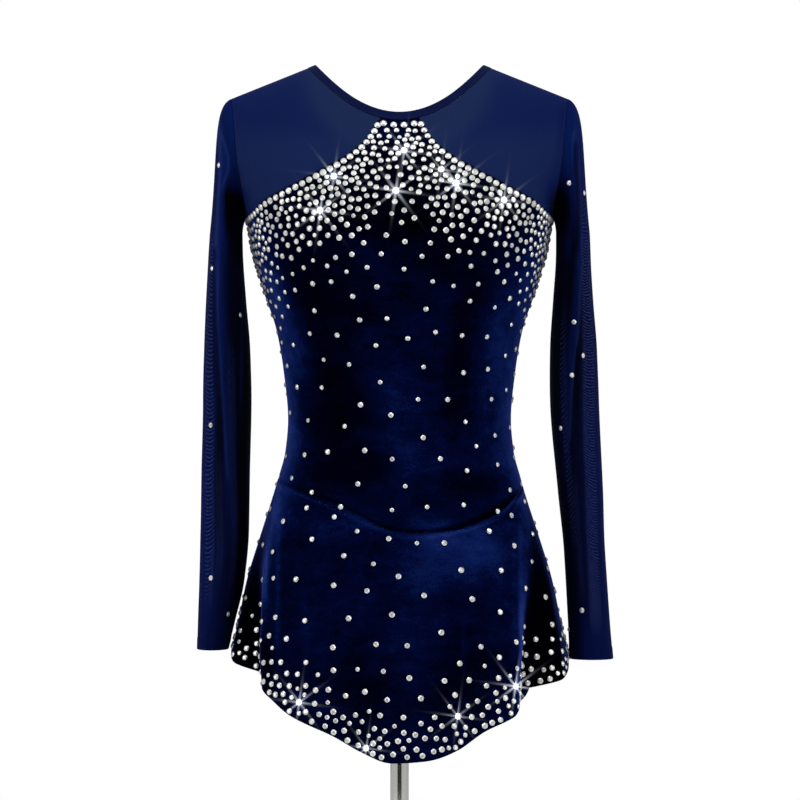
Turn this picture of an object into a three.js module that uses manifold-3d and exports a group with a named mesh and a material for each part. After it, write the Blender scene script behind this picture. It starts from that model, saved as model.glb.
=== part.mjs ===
// A long-sleeved figure skating dress on a limbless dress form with a round stand, in millimetres.
// +Z is up, the front of the dress faces -Y, and the origin is the centre of the base's underside.
// Every cloth piece is a thin wall: a patch of points on the outer face, moved inwards by its thickness.

import * as THREE from "three";
import Module from "manifold-3d";
import { mergeVertices } from "three/addons/utils/BufferGeometryUtils.js";

const wasm = await Module();
wasm.setup();

const { Vector3 } = THREE;
const degree = Math.PI / 180;

// Driving dimensions

const velvetThickness = 1.5;
const netThickness = 1.1;
const seamGap = 0.3; // between two pieces along a straight seam
const curvedSeamGap = 0.5; // the same where the seam bends, because its faces are flat between points

const ridge = { neckHalf: 91, neckHeight: 1017, slope: 0.4, roll: 45 }; // the line of the shoulder seams
const neck = { half: 86.6, bandHalf: 94.1, frontLow: 967, backLow: 962, band: 8, proud: 0.4 };
const armholeLow = 860; // the height of the armpit
const bodicePointAngle = 6.2; // half angle of the bodice's point where it reaches the neck band
const sleeveHead = {
  foot: 845,
  shoulderReach: 20,
  shoulderDrop: 84,
  shoulderIn: 9,
  underarmReach: 2,
  underarmDrop: 5,
};
const cuffHem = { height: 13, extra: 0.5 };
const briefs = { inset: 2.1, thickness: 1.2 };
const gusset = { halfEnd: 29, halfMiddle: 22, aside: 35, drop: 26, below: 0.6 };
// The form lies deeper under the briefs and closer under the shoulder seams, which rest on it.
const formInsets = [
  { z: 560, inset: 5.2 },
  { z: 640, inset: 3.2 },
  { z: 800, inset: 3.4 },
  { z: 850, inset: 4.6 },
  { z: 900, inset: 4.6 },
  { z: 1000, inset: 3.4 },
];
const form = { bottom: 425, bevel: 6, top: 1024, armholeInset: 3 };
const formNeck = { half: 89, low: 960.5, tilt: 2.2 * degree };
const pole = { radius: 9.5, bottom: 28.3, gap: 0.3 };
const base = { radius: 150, edge: 6, height: 13, hubRadius: 18, hubHeight: 28 };

// The torso's outer face at each height: half its width, its depth before and behind the side seams,
// and how square its section is (2 is an ellipse). Above the armpits the arms are left out of it.
const torsoRows = [
  { z: 425, half: 145, front: 98, back: 108, square: 2.3 },
  { z: 468, half: 147, front: 100, back: 112, square: 2.3 },
  { z: 509, half: 143, front: 98, back: 107, square: 2.25 },
  { z: 550, half: 135, front: 95, back: 98, square: 2.2 },
  { z: 591, half: 125.5, front: 92, back: 87, square: 2.2 },
  { z: 622, half: 117.5, front: 89, back: 78, square: 2.2 },
  { z: 654, half: 114.8, front: 88, back: 75, square: 2.2 },
  { z: 705, half: 119.5, front: 91, back: 77, square: 2.2 },
  { z: 746, half: 126.7, front: 99, back: 82, square: 2.25 },
  { z: 787, half: 140.4, front: 111, back: 89, square: 2.3 },
  { z: 828, half: 152, front: 118, back: 95, square: 2.35 },
  { z: 860, half: 157.6, front: 115, back: 98, square: 2.5 },
  { z: 880, half: 163, front: 109, back: 98, square: 2.7 },
  { z: 920, half: 177, front: 93, back: 92, square: 2.8 },
  { z: 960, half: 186, front: 69, back: 72, square: 2.8 },
  { z: 990, half: 188, front: 58, back: 60, square: 2.8 },
  { z: 1030, half: 190, front: 52, back: 53, square: 2.8 },
];

// How far out the armhole seams lie.
const armholeRows = [
  { z: 860, x: 157.6 },
  { z: 868, x: 158.3 },
  { z: 880, x: 160 },
  { z: 892, x: 162 },
  { z: 920, x: 166 },
  { z: 945, x: 168.5 },
  { z: 985, x: 173 },
];

// Angles run round the dress: 0 is the middle of the front, 90 the +X side seam, 180 the middle of the back.
// The slanting top edge of the front bodice, the same on both sides.
const bodiceTopRows = [
  { angle: 6, z: 961.5 },
  { angle: 8.7, z: 946 },
  { angle: 12, z: 933.5 },
  { angle: 16, z: 924 },
  { angle: 20.3, z: 916 },
  { angle: 33.5, z: 898.6 },
  { angle: 45, z: 886.5 },
  { angle: 58.5, z: 875.3 },
  { angle: 71, z: 865 },
  { angle: 80, z: 861 },
  { angle: 90, z: 859.7 },
];
const backTopRows = [
  { angle: 90, z: 859.7 },
  { angle: 105, z: 863 },
  { angle: 135, z: 879 },
  { angle: 180, z: 889 },
];

// The seam that joins the bodice to the skirt, all round.
const waistSeamRows = [
  { angle: -90, z: 594 },
  { angle: -67, z: 586 },
  { angle: -40, z: 571.5 },
  { angle: -24, z: 558.5 },
  { angle: -11, z: 547 },
  { angle: 0, z: 541.5 },
  { angle: 12, z: 540 },
  { angle: 27, z: 542.5 },
  { angle: 42, z: 550 },
  { angle: 55, z: 560.5 },
  { angle: 66, z: 572 },
  { angle: 78, z: 581 },
  { angle: 90, z: 587 },
  { angle: 120, z: 582 },
  { angle: 150, z: 566 },
  { angle: 180, z: 560 },
  { angle: 210, z: 566 },
  { angle: 240, z: 583 },
];
const hemRows = [
  { angle: -90, z: 416 },
  { angle: -78, z: 404 },
  { angle: -66, z: 393 },
  { angle: -50, z: 376.5 },
  { angle: -38, z: 356 },
  { angle: -24, z: 339 },
  { angle: -12.5, z: 320.5 },
  { angle: -2, z: 309.5 },
  { angle: 8, z: 311.5 },
  { angle: 19, z: 322 },
  { angle: 30, z: 342 },
  { angle: 42, z: 357 },
  { angle: 50, z: 373 },
  { angle: 64, z: 384 },
  { angle: 78, z: 395 },
  { angle: 90, z: 411 },
  { angle: 120, z: 382 },
  { angle: 150, z: 335 },
  { angle: 180, z: 312 },
  { angle: 210, z: 335 },
  { angle: 240, z: 386 },
];
// The skirt's outer face at each height, before its folds.
const skirtRows = [
  { z: 310, half: 186, front: 134, back: 139 },
  { z: 360, half: 180, front: 128, back: 133 },
  { z: 416, half: 173, front: 121, back: 126 },
  { z: 447, half: 166, front: 116, back: 121 },
  { z: 488, half: 157.5, front: 110, back: 115 },
  { z: 530, half: 145, front: 102, back: 106 },
  { z: 571, half: 132, front: 95, back: 94 },
  { z: 594, half: 125, front: 92, back: 87 },
];
// Each fold is a trough in the skirt: its angle and depth at the hem, half its width in degrees, how far down
// the skirt it starts, how much its angle changes from the hem up to the seam, and how far it bows in between.
const skirtFolds = [
  { angle: -65.5, depth: 27, width: 11, from: 0.1, lean: -11, bow: -3.5 },
  { angle: -17, depth: 6, width: 8, from: 0.45, lean: 0, bow: 0 },
  { angle: 24, depth: 6, width: 8, from: 0.45, lean: 0, bow: 0 },
  { angle: 55.5, depth: 29, width: 11, from: 0.1, lean: 11, bow: 0 },
  { angle: 117, depth: 22, width: 12, from: 0.1, lean: -4, bow: 0 },
  { angle: 149, depth: 13, width: 11, from: 0.25, lean: 0, bow: 0 },
  { angle: 182, depth: 16, width: 12, from: 0.15, lean: 0, bow: 0 },
  { angle: 214, depth: 12, width: 11, from: 0.25, lean: 0, bow: 0 },
  { angle: 244, depth: 23, width: 12, from: 0.1, lean: 4, bow: 0 },
];

const legRows = [
  { angle: 0, z: 432 },
  { angle: 12, z: 432 },
  { angle: 25, z: 446 },
  { angle: 45, z: 476 },
  { angle: 66, z: 506 },
  { angle: 90, z: 524 },
  { angle: 114, z: 500 },
  { angle: 138, z: 464 },
  { angle: 158, z: 439 },
  { angle: 168, z: 432 },
  { angle: 180, z: 432 },
];

// The sleeves below the armpits: the middle of the section, half its width across the body, and half its
// depth from front to back.
const sleeveRows = {
  left: [
    { z: 418, middle: 192.3, half: 16, depth: 38 },
    { z: 447, middle: 188.4, half: 19.2, depth: 38 },
    { z: 488, middle: 183, half: 23.2, depth: 39 },
    { z: 540, middle: 180, half: 25, depth: 41 },
    { z: 600, middle: 179, half: 25, depth: 45 },
    { z: 674, middle: 177.4, half: 25, depth: 50 },
    { z: 725, middle: 177.5, half: 23.8, depth: 53 },
    { z: 777, middle: 178.6, half: 20.6, depth: 56 },
    { z: 818, middle: 179, half: 18, depth: 56 },
    { z: 850, middle: 178.4, half: 16.6, depth: 52 },
  ],
  right: [
    { z: 408, middle: 197.4, half: 22.5, depth: 34 },
    { z: 447, middle: 195, half: 21.6, depth: 36 },
    { z: 519, middle: 190.5, half: 21.2, depth: 40 },
    { z: 581, middle: 186.3, half: 23.3, depth: 44 },
    { z: 674, middle: 180.2, half: 25.2, depth: 50 },
    { z: 725, middle: 179.2, half: 24.2, depth: 53 },
    { z: 777, middle: 178.8, half: 20.6, depth: 56 },
    { z: 818, middle: 179, half: 18, depth: 56 },
    { z: 850, middle: 178.5, half: 17.3, depth: 52 },
  ],
};
// Lengthwise folds of a hanging sleeve. Angles run from the underarm over the front to the outside.
const sleeveFolds = [
  { angle: 52, depth: 4.5, width: 20, from: 0.16, to: 0.95 },
  { angle: 118, depth: 5, width: 17, from: 0.12, to: 0.98 },
  { angle: 232, depth: 4.5, width: 20, from: 0.14, to: 0.97 },
  { angle: 302, depth: 4, width: 19, from: 0.2, to: 0.9 },
];

// Curves through the rows of a table

// A smooth curve through the rows that never overshoots them. With a period the rows repeat.
function curveThrough(rows, key, column, period = 0) {
  let at = rows.map((row) => row[key]);
  let value = rows.map((row) => row[column]);
  if (period) {
    at = [...at.slice(-2).map((a) => a - period), ...at, ...at.slice(0, 2).map((a) => a + period)];
    value = [...value.slice(-2), ...value, ...value.slice(0, 2)];
  }
  const last = at.length - 1;
  const slope = at.slice(1).map((a, i) => (value[i + 1] - value[i]) / (a - at[i]));
  const tangent = at.map((_, i) => {
    if (i === 0) return slope[0];
    if (i === last) return slope[last - 1];
    const product = slope[i - 1] * slope[i];
    return product <= 0 ? 0 : (2 * product) / (slope[i - 1] + slope[i]);
  });
  const start = rows[0][key];
  return (where) => {
    const wrapped = period ? start + ((((where - start) % period) + period) % period) : where;
    const w = Math.min(Math.max(wrapped, at[0]), at[last]);
    let i = at.findIndex((a) => a > w) - 1;
    if (i < 0) i = last - 1;
    const span = at[i + 1] - at[i];
    const t = (w - at[i]) / span;
    const rise = t * t * (3 - 2 * t);
    return (
      value[i] * (1 - rise) +
      value[i + 1] * rise +
      span * (tangent[i] * t * (1 - t) * (1 - t) - tangent[i + 1] * t * t * (1 - t))
    );
  };
}

const torso = Object.fromEntries(
  ["half", "front", "back", "square"].map((column) => [column, curveThrough(torsoRows, "z", column)]),
);
const skirt = Object.fromEntries(
  ["half", "front", "back"].map((column) => [column, curveThrough(skirtRows, "z", column)]),
);
const armholeX = curveThrough(armholeRows, "z", "x");
const bodiceTop = curveThrough(bodiceTopRows, "angle", "z");
const backTop = curveThrough(backTopRows, "angle", "z");
const formInset = curveThrough(formInsets, "z", "inset");
const waistSeam = curveThrough(waistSeamRows, "angle", "z", 360);
const hem = curveThrough(hemRows, "angle", "z", 360);
const legLine = curveThrough(legRows, "angle", "z");

const mix = (a, b, t) => a + (b - a) * t;
const ease = (low, high, value) => {
  const t = Math.min(Math.max((value - low) / (high - low), 0), 1);
  return t * t * (3 - 2 * t);
};
const spread = (stops, counts) => {
  const made = [stops[0]];
  counts.forEach((count, i) => {
    for (let k = 1; k <= count; k++) made.push(mix(stops[i], stops[i + 1], k / count));
  });
  return made;
};
// A trough of depth 1 that fades out smoothly at its half width.
const trough = (away, width) => (Math.abs(away) >= width ? 0 : Math.cos((away / width) * (Math.PI / 2)) ** 2);

// The torso's outer face

const ridgeHeight = (x) => ridge.neckHeight - ridge.slope * (Math.abs(x) - ridge.neckHalf);
const topRise = (ridge.roll * Math.PI) / 2;
// "rise" is the height along the cloth, counted from where it starts to roll over the shoulder.
const heightAt = (x, rise) => {
  const start = ridgeHeight(x) - ridge.roll;
  return rise < 0 ? start + rise : start + ridge.roll * Math.sin(rise / ridge.roll);
};
const riseAt = (x, z) => {
  const above = z - (ridgeHeight(x) - ridge.roll);
  return above < 0 ? above : ridge.roll * Math.asin(Math.min(above / ridge.roll, 1));
};
const sectionShare = (ratio, square) => (1 - Math.min(Math.abs(ratio), 1) ** square) ** (1 / square);

// The point of the torso's face at x and rise; side is -1 in front and 1 behind.
function torsoPoint(x, rise, side) {
  const z = heightAt(x, rise);
  const depth = side < 0 ? torso.front(z) : torso.back(z);
  const rolled = rise < 0 ? 1 : Math.cos(rise / ridge.roll);
  return new Vector3(x, side * depth * sectionShare(x / torso.half(z), torso.square(z)) * rolled, z);
}

// The point of a ring round the body at an angle; inset moves it towards the axis.
function ringPoint(sizes, square, angle, z, inset = 0) {
  const sine = Math.sin(angle * degree);
  const side = Math.cos(angle * degree) >= 0 ? -1 : 1;
  const depth = (side < 0 ? sizes.front(z) : sizes.back(z)) - inset;
  return new Vector3((sizes.half(z) - inset) * sine, side * depth * sectionShare(sine, square(z)), z);
}
const torsoRing = (angle, z, inset) => ringPoint(torso, torso.square, angle, z, inset);

// The neck edge: low in the middle and up to the shoulder seam at half.
const neckHeight = (x, half, low) => low + (ridgeHeight(half) - low) * (x / half) ** 2;
const bandEdge = (x, side) => neckHeight(x, neck.bandHalf, (side < 0 ? neck.frontLow : neck.backLow) - neck.band);
const shoulderSeamRise = topRise - seamGap / 2;

// The edge of a yoke along the neck band, a seam gap away from it.
const yokeNeckX = neck.bandHalf + seamGap;
function yokeNeckEdge(x, side) {
  const under = (x * neck.bandHalf) / yokeNeckX;
  const gap = mix(curvedSeamGap, seamGap / 2, (x / yokeNeckX) ** 2);
  return [x, riseAt(under, bandEdge(under, side)) - gap];
}

// The seam of an armhole, from the armpit up to the shoulder seam.
const armpitRise = riseAt(armholeX(armholeLow), armholeLow);
function armholeSeam(rise) {
  let x = armholeX(armholeLow);
  for (let k = 0; k < 4; k++) x = armholeX(heightAt(x, rise));
  return x;
}

// Walls

// The unit normal of a patch at (u, v), on the side that u cross v points to.
function patchNormal(pointAt, u, v) {
  const step = 1e-4;
  const along = (du, dv) => {
    const from = pointAt(Math.max(u - du, 0), Math.max(v - dv, 0));
    return pointAt(Math.min(u + du, 1), Math.min(v + dv, 1)).sub(from);
  };
  return along(step, 0).cross(along(0, step)).normalize();
}

// A wall between two grids of points, facing where u cross v points on the outer grid.
function wallBetween(outer, inner, columns, rows, closed) {
  const half = outer.length;
  const index = [];
  const quad = (a, b, c, d) => index.push(a, b, c, a, c, d);
  const at = (i, j) => j * columns + (i % columns);
  const spans = closed ? columns : columns - 1;
  for (let i = 0; i < spans; i++) {
    for (let j = 0; j < rows - 1; j++) {
      quad(at(i, j), at(i + 1, j), at(i + 1, j + 1), at(i, j + 1));
      quad(half + at(i, j + 1), half + at(i + 1, j + 1), half + at(i + 1, j), half + at(i, j));
    }
    quad(at(i + 1, 0), at(i, 0), half + at(i, 0), half + at(i + 1, 0));
    quad(at(i, rows - 1), at(i + 1, rows - 1), half + at(i + 1, rows - 1), half + at(i, rows - 1));
  }
  for (let j = 0; j < rows - 1 && !closed; j++) {
    const end = columns - 1;
    quad(at(0, j), at(0, j + 1), half + at(0, j + 1), half + at(0, j));
    quad(at(end, j + 1), at(end, j), half + at(end, j), half + at(end, j + 1));
  }
  const positions = [...outer, ...inner].flatMap((p) => [p.x, p.y, p.z]);
  const geometry = new THREE.BufferGeometry();
  geometry.setAttribute("position", new THREE.Float32BufferAttribute(positions, 3));
  geometry.setIndex(index);
  geometry.computeVertexNormals();
  return geometry;
}

// A wall on the patch pointAt(u, v). us and vs are the grid's stops from 0 to 1, turn is -1 where u cross v
// points inwards, thickness may be a function of (u, v), and proud lifts the outer face.
function patchWall(pointAt, us, vs, { turn = 1, thickness = velvetThickness, proud = 0, closed = false } = {}) {
  const columns = turn > 0 ? us : [...us].reverse();
  const outer = [];
  const inner = [];
  for (const v of vs) {
    for (const u of columns) {
      const point = pointAt(u, v);
      const normal = patchNormal(pointAt, u, v).multiplyScalar(turn);
      const wall = typeof thickness === "function" ? thickness(u, v) : thickness;
      outer.push(point.clone().addScaledVector(normal, proud));
      inner.push(point.clone().addScaledVector(normal, proud - wall));
    }
  }
  return wallBetween(outer, inner, columns.length, vs.length, closed);
}

const evenly = (count) => spread([0, 1], [count]);
const shares = (stops) => stops.map((stop) => (stop - stops[0]) / (stops[stops.length - 1] - stops[0]));

// Bodice

const sideSeam = 90 - 0.04; // the bodice's side edges, in degrees

function bodiceFrontPoint(u, v) {
  const angle = mix(-sideSeam, sideSeam, u);
  const bottom = waistSeam(angle) + seamGap;
  const slanted = bodiceTop(Math.abs(angle));
  const x = torso.half(slanted) * Math.sin(angle * degree);
  const top = Math.abs(angle) < bodicePointAngle ? bandEdge(x, -1) : Math.min(slanted, bandEdge(x, -1));
  return torsoRing(angle, mix(bottom, top - curvedSeamGap, v));
}

function bodiceBackPoint(u, v) {
  const angle = mix(90.04, 269.96, u);
  const top = backTop(angle <= 180 ? angle : 360 - angle);
  return torsoRing(angle, mix(waistSeam(angle) + seamGap, top - curvedSeamGap, v));
}

// Yokes and neck band

// A patch spanned by four edges, each a function of 0 to 1 that gives [x, rise].
function spanned(bottom, top, start, end) {
  const corners = [bottom(0), bottom(1), top(0), top(1)];
  return (u, v) => {
    const edges = [bottom(u), top(u), start(v), end(v)];
    return [0, 1].map((k) => {
      const flat =
        mix(mix(corners[0][k], corners[1][k], u), mix(corners[2][k], corners[3][k], u), v);
      return mix(edges[0][k], edges[1][k], v) + mix(edges[2][k], edges[3][k], u) - flat;
    });
  };
}

const yokeFootRise = armpitRise + 1.9; // the yokes end this far up the armhole seam
const finer = (t) => Math.sin((t * Math.PI) / 2);

function armholeEdge(v) {
  const rise = mix(yokeFootRise, shoulderSeamRise, v);
  return [armholeSeam(rise) - curvedSeamGap / 2, rise];
}
const yokeFoot = armholeEdge(0);
const yokeShoulderX = armholeEdge(1)[0];

function yokeFrontPoint(u, v) {
  const pointX = torso.half(bodiceTop(bodicePointAngle)) * Math.sin(bodicePointAngle * degree) + curvedSeamGap;
  const neckSide = (t) => yokeNeckEdge(mix(pointX, yokeNeckX, finer(t)), -1);
  const slantedSide = (t) => {
    const angle = mix(bodicePointAngle, 90, t);
    const z = bodiceTop(angle) + curvedSeamGap;
    const x = torso.half(z) * Math.sin(angle * degree);
    const endShare = ease(0.88, 1, t);
    const startShare = 1 - ease(0, 0.08, t);
    const from = neckSide(0);
    return [0, 1].map((k) => {
      const plain = k ? riseAt(x, z) : x;
      return mix(mix(plain, from[k], startShare), yokeFoot[k], endShare);
    });
  };
  const shoulderSide = (t) => [mix(yokeNeckX, yokeShoulderX, t), shoulderSeamRise];
  const [x, rise] = spanned(slantedSide, shoulderSide, neckSide, armholeEdge)(u, v);
  return torsoPoint(x, rise, -1);
}

// The angle at which an edge that is given by its angles reaches x.
function angleReaching(edge, x, fromAngle) {
  let angle = fromAngle;
  for (let k = 0; k < 12; k++) angle = 180 - Math.asin(Math.min(x / torso.half(edge(angle)), 1)) / degree;
  return angle;
}

function yokeBackPoint(u, v) {
  const signed = 2 * u - 1;
  const away = Math.abs(signed);
  const bottom = (t) => {
    const x = yokeFoot[0] * t;
    const z = backTop(angleReaching(backTop, Math.abs(x), 135)) + curvedSeamGap;
    return [x, mix(riseAt(x, z), yokeFoot[1], ease(0.94, 1, Math.abs(t)))];
  };
  const neckShare = 0.55; // the share of half the piece that lies under the neck band
  const top = (t) => {
    const share = Math.abs(t);
    const beyond = mix(yokeNeckX, yokeShoulderX, (share - neckShare) / (1 - neckShare));
    const [x, rise] =
      share < neckShare ? yokeNeckEdge(yokeNeckX * finer(share / neckShare), 1) : [beyond, shoulderSeamRise];
    return [Math.sign(t) * x, rise];
  };
  const [lowX, lowRise] = bottom(signed);
  const [highX, highRise] = top(signed);
  const [edgeX, edgeRise] = armholeEdge(v);
  const plainX = mix(yokeFoot[0], yokeShoulderX, v);
  const plainRise = mix(yokeFoot[1], shoulderSeamRise, v);
  const x = mix(lowX, highX, v) + Math.sign(signed) * away ** 3 * (edgeX - plainX);
  const rise = mix(lowRise, highRise, v) + away ** 3 * (edgeRise - plainRise);
  return torsoPoint(x, rise, 1);
}

// The neck band runs once round the neck: u is the way round, and v goes from the neck edge outwards.
function neckBandPoint(u, v) {
  const turn = u * 4;
  const side = turn < 2 ? -1 : 1;
  const across = finer(side < 0 ? turn - 1 : 3 - turn);
  const half = mix(neck.half, neck.bandHalf, v);
  const low = (side < 0 ? neck.frontLow : neck.backLow) - neck.band * v;
  const x = half * across;
  return torsoPoint(x, riseAt(x, neckHeight(x, half, low)), side);
}

// Sleeves

function armholePoint(around) {
  const rise = mix(armpitRise, topRise, (1 - Math.cos(around)) / 2);
  const x = armholeSeam(rise);
  const side = Math.sin(around) >= 0 ? -1 : 1;
  return torsoPoint(x, rise, side).add(new Vector3(curvedSeamGap / 2, 0, 0));
}

// The right sleeve's face. u goes round from the underarm over the front, and v runs from armhole to cuff.
function sleevePoint(rows) {
  const middle = curveThrough(rows, "z", "middle");
  const half = curveThrough(rows, "z", "half");
  const depth = curveThrough(rows, "z", "depth");
  const cuff = rows[0].z;
  const headShare = 0.24;
  const section = (around, z, v) => {
    const inward = sleeveFolds.reduce((sum, fold) => {
      const away = (((around / degree - fold.angle + 540) % 360) + 360) % 360 - 180;
      const share = ease(fold.from, fold.from + 0.2, v) * (1 - ease(fold.to - 0.15, fold.to, v));
      return sum + fold.depth * share * trough(away, fold.width * 1.6);
    }, 0);
    const width = half(z) - inward * 0.55 * Math.abs(Math.cos(around));
    const reach = depth(z) - inward * Math.abs(Math.sin(around));
    return new Vector3(middle(z) - width * Math.cos(around), -reach * Math.sin(around), z);
  };
  return (u, v) => {
    const around = u * 2 * Math.PI;
    if (v >= headShare) {
      return section(around, mix(sleeveHead.foot, cuff, (v - headShare) / (1 - headShare)), v);
    }
    const t = v / headShare;
    const outside = (1 - Math.cos(around)) / 2;
    const from = armholePoint(around);
    const to = section(around, sleeveHead.foot, headShare);
    const reach = mix(sleeveHead.underarmReach, sleeveHead.shoulderReach, outside);
    const leaving = from.clone().add(new Vector3(reach, 0, -ridge.slope * reach));
    const drop = mix(sleeveHead.underarmDrop, sleeveHead.shoulderDrop, outside);
    const arriving = to.clone().add(new Vector3(-sleeveHead.shoulderIn * outside ** 2, 0, drop));
    return new THREE.CubicBezierCurve3(from, leaving, arriving, to).getPoint(t);
  };
}

function sleeveWall(name) {
  const rows = sleeveRows[name];
  const right = sleevePoint(rows);
  const side = name === "right" ? 1 : -1;
  const pointAt = (u, v) => {
    const p = right(((u % 1) + 1) % 1, v);
    return new Vector3(side * p.x, p.y, p.z);
  };
  const length = sleeveHead.foot - rows[0].z;
  const hemStart = 1 - (0.76 * cuffHem.height) / length;
  const around = spread([0, 1], [20]).slice(0, -1);
  const along = [...spread([0, 0.24, hemStart - 0.004], [7, 12]), hemStart, 1];
  const thickness = (u, v) => netThickness + (v >= hemStart ? cuffHem.extra : 0);
  return patchWall(pointAt, around, along, { turn: -side, thickness, closed: true });
}

// Skirt and briefs

function skirtPoint(angle, v) {
  const top = waistSeam(angle) - seamGap;
  const z = mix(top, hem(angle), v);
  const inward = skirtFolds.reduce((sum, fold) => {
    const middle = fold.angle + fold.lean * (1 - v) + fold.bow * 4 * v * (1 - v);
    const away = ((((angle - middle) % 360) + 540) % 360) - 180;
    const share = ease(fold.from, 1.15, v) / ease(fold.from, 1.15, 1);
    return sum + fold.depth * share * trough(away, fold.width * 1.5);
  }, 0);
  const point = ringPoint(skirt, () => 2.2, angle, z);
  const join = torsoRing(angle, top);
  const plainTop = ringPoint(skirt, () => 2.2, angle, top);
  point.addScaledVector(join.sub(plainTop), 1 - ease(0, 0.5, v));
  const outward = new Vector3(Math.sin(angle * degree), -Math.cos(angle * degree) * 1.05, 0).normalize();
  return point.addScaledVector(outward, -inward);
}

const skirtWall = (from, to, columns) =>
  patchWall((u, v) => skirtPoint(mix(from, to, u), 1 - v), evenly(columns), spread([0, 1], [8]));

const underSeam = (angle) => waistSeam(angle) - seamGap - 0.4;
const foldedAngle = (angle) => (angle <= 180 ? Math.abs(angle) : 360 - angle);

const briefsWall = (from, to, columns) =>
  patchWall(
    (u, v) => {
      const angle = mix(from, to, u);
      return torsoRing(angle, mix(legLine(foldedAngle(angle)), underSeam(angle), v), briefs.inset);
    },
    evenly(columns),
    evenly(4),
    { thickness: briefs.thickness },
  );

// The gusset hangs from the front of the briefs to the back and passes beside the pole.
function gussetPoint(u, v) {
  const edge = legLine(0) - gusset.below;
  const front = -(torso.front(edge) - briefs.inset);
  const back = torso.back(edge) - briefs.inset;
  const arch = Math.sin(v * Math.PI);
  const half = mix(gusset.halfEnd, gusset.halfMiddle, arch);
  const steep = 0.5 - 0.5 * Math.cos(v * Math.PI);
  const y = mix(front, back, mix(steep, v, 0.25));
  return new Vector3(gusset.aside * arch ** 2 + half * (2 * u - 1), y, edge - gusset.drop * Math.sqrt(arch));
}

// Dress form and stand

const solidOf = (geometry) => {
  const bare = geometry.index ? geometry.toNonIndexed() : geometry.clone();
  bare.deleteAttribute("normal");
  bare.deleteAttribute("uv");
  const merged = mergeVertices(bare, 1e-3);
  return new wasm.Manifold(
    new wasm.Mesh({
      numProp: 3,
      vertProperties: new Float32Array(merged.attributes.position.array),
      triVerts: new Uint32Array(merged.index.array),
    }),
  );
};

const geometryOf = (solid) => {
  const mesh = solid.getMesh();
  const geometry = new THREE.BufferGeometry();
  geometry.setAttribute("position", new THREE.BufferAttribute(new Float32Array(mesh.vertProperties), 3));
  geometry.setIndex(new THREE.BufferAttribute(new Uint32Array(mesh.triVerts), 1));
  geometry.computeVertexNormals();
  return geometry;
};

// The form's section at a height, inside the cloth and up to the shoulder seams.
function formPoint(angle, z) {
  const inset = formInset(z);
  const reach = ridge.neckHalf + (ridge.neckHeight - inset - z) / ridge.slope;
  const half = Math.min(torso.half(z) - inset, reach);
  const x = half * Math.sin(angle * degree);
  const side = Math.cos(angle * degree) >= 0 ? -1 : 1;
  const depth = (side < 0 ? torso.front(z) : torso.back(z)) - inset;
  const rise = riseAt(x, z + inset);
  const rolled = rise < 0 ? 1 : Math.cos(rise / ridge.roll);
  const share = sectionShare(x / (torso.half(z) - inset), torso.square(z));
  return new Vector3(x, side * depth * share * rolled, z);
}

// Rings of points stacked into one closed solid with flat ends.
function stacked(rings) {
  const count = rings[0].length;
  const points = rings.flat();
  const index = [];
  for (let j = 0; j < rings.length - 1; j++) {
    for (let i = 0; i < count; i++) {
      const [a, b] = [j * count + i, j * count + ((i + 1) % count)];
      index.push(a, b, b + count, a, b + count, a + count);
    }
  }
  for (const [ring, end] of [[0, 0], [rings.length - 1, 1]]) {
    const centre = points.length;
    points.push(new Vector3(0, 0, rings[ring][0].z));
    for (let i = 0; i < count; i++) {
      const [a, b] = [ring * count + i, ring * count + ((i + 1) % count)];
      index.push(centre, ...(end ? [a, b] : [b, a]));
    }
  }
  const geometry = new THREE.BufferGeometry();
  const positions = points.flatMap((p) => [p.x, p.y, p.z]);
  geometry.setAttribute("position", new THREE.Float32BufferAttribute(positions, 3));
  geometry.setIndex(index);
  return geometry;
}

// A prism whose outline lies in the X-Z plane, run along Y through the whole form.
function crossPrism(outline) {
  const reach = 200;
  const shape = new THREE.Shape(outline.map(([x, z]) => new THREE.Vector2(x, z)));
  const prism = new THREE.ExtrudeGeometry(shape, { depth: 2 * reach, bevelEnabled: false });
  return prism.rotateX(Math.PI / 2).translate(0, reach, 0);
}

function dressFormGeometry() {
  const levels = spread([form.bottom + form.bevel, 640, armholeLow, 950, form.top], [6, 8, 5, 9]);
  const angles = spread([0, 360], [44]).slice(0, -1);
  const rings = levels.map((z) => angles.map((angle) => formPoint(angle, z)));
  const foot = rings[0].map((p) => {
    const shrink = 1 - form.bevel / Math.hypot(p.x, p.y);
    return new Vector3(p.x * shrink, p.y * shrink, form.bottom);
  });
  let solid = solidOf(stacked([foot, ...rings]));

  const neckLine = evenly(12).map((t) => mix(-formNeck.half, formNeck.half, t));
  const neckOutline = [
    ...neckLine.map((x) => [x, neckHeight(x, formNeck.half, formNeck.low)]),
    [formNeck.half + 4, 1100],
    [-formNeck.half - 4, 1100],
  ];
  const neckCut = crossPrism(neckOutline)
    .translate(0, 0, -formNeck.low)
    .rotateX(-formNeck.tilt)
    .translate(0, 0, formNeck.low);
  solid = solid.subtract(solidOf(neckCut));

  for (const side of [-1, 1]) {
    const edge = spread([armholeLow, 1000], [7]).map((z) => [side * (armholeX(z) - form.armholeInset), z]);
    const outline = [...edge, [side * 260, 1000], [side * 260, armholeLow]];
    const cut = crossPrism(side > 0 ? outline : outline.reverse());
    solid = solid.subtract(solidOf(cut));
  }
  return geometryOf(solid);
}

const lathe = (profile, segments) =>
  new THREE.LatheGeometry(profile.map(([r, z]) => new THREE.Vector2(r, z)), segments).rotateX(Math.PI / 2);

const poleGeometry = () =>
  lathe(
    [
      [0, pole.bottom],
      [pole.radius, pole.bottom],
      [pole.radius, form.bottom - pole.gap],
      [0, form.bottom - pole.gap],
    ],
    28,
  );

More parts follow.
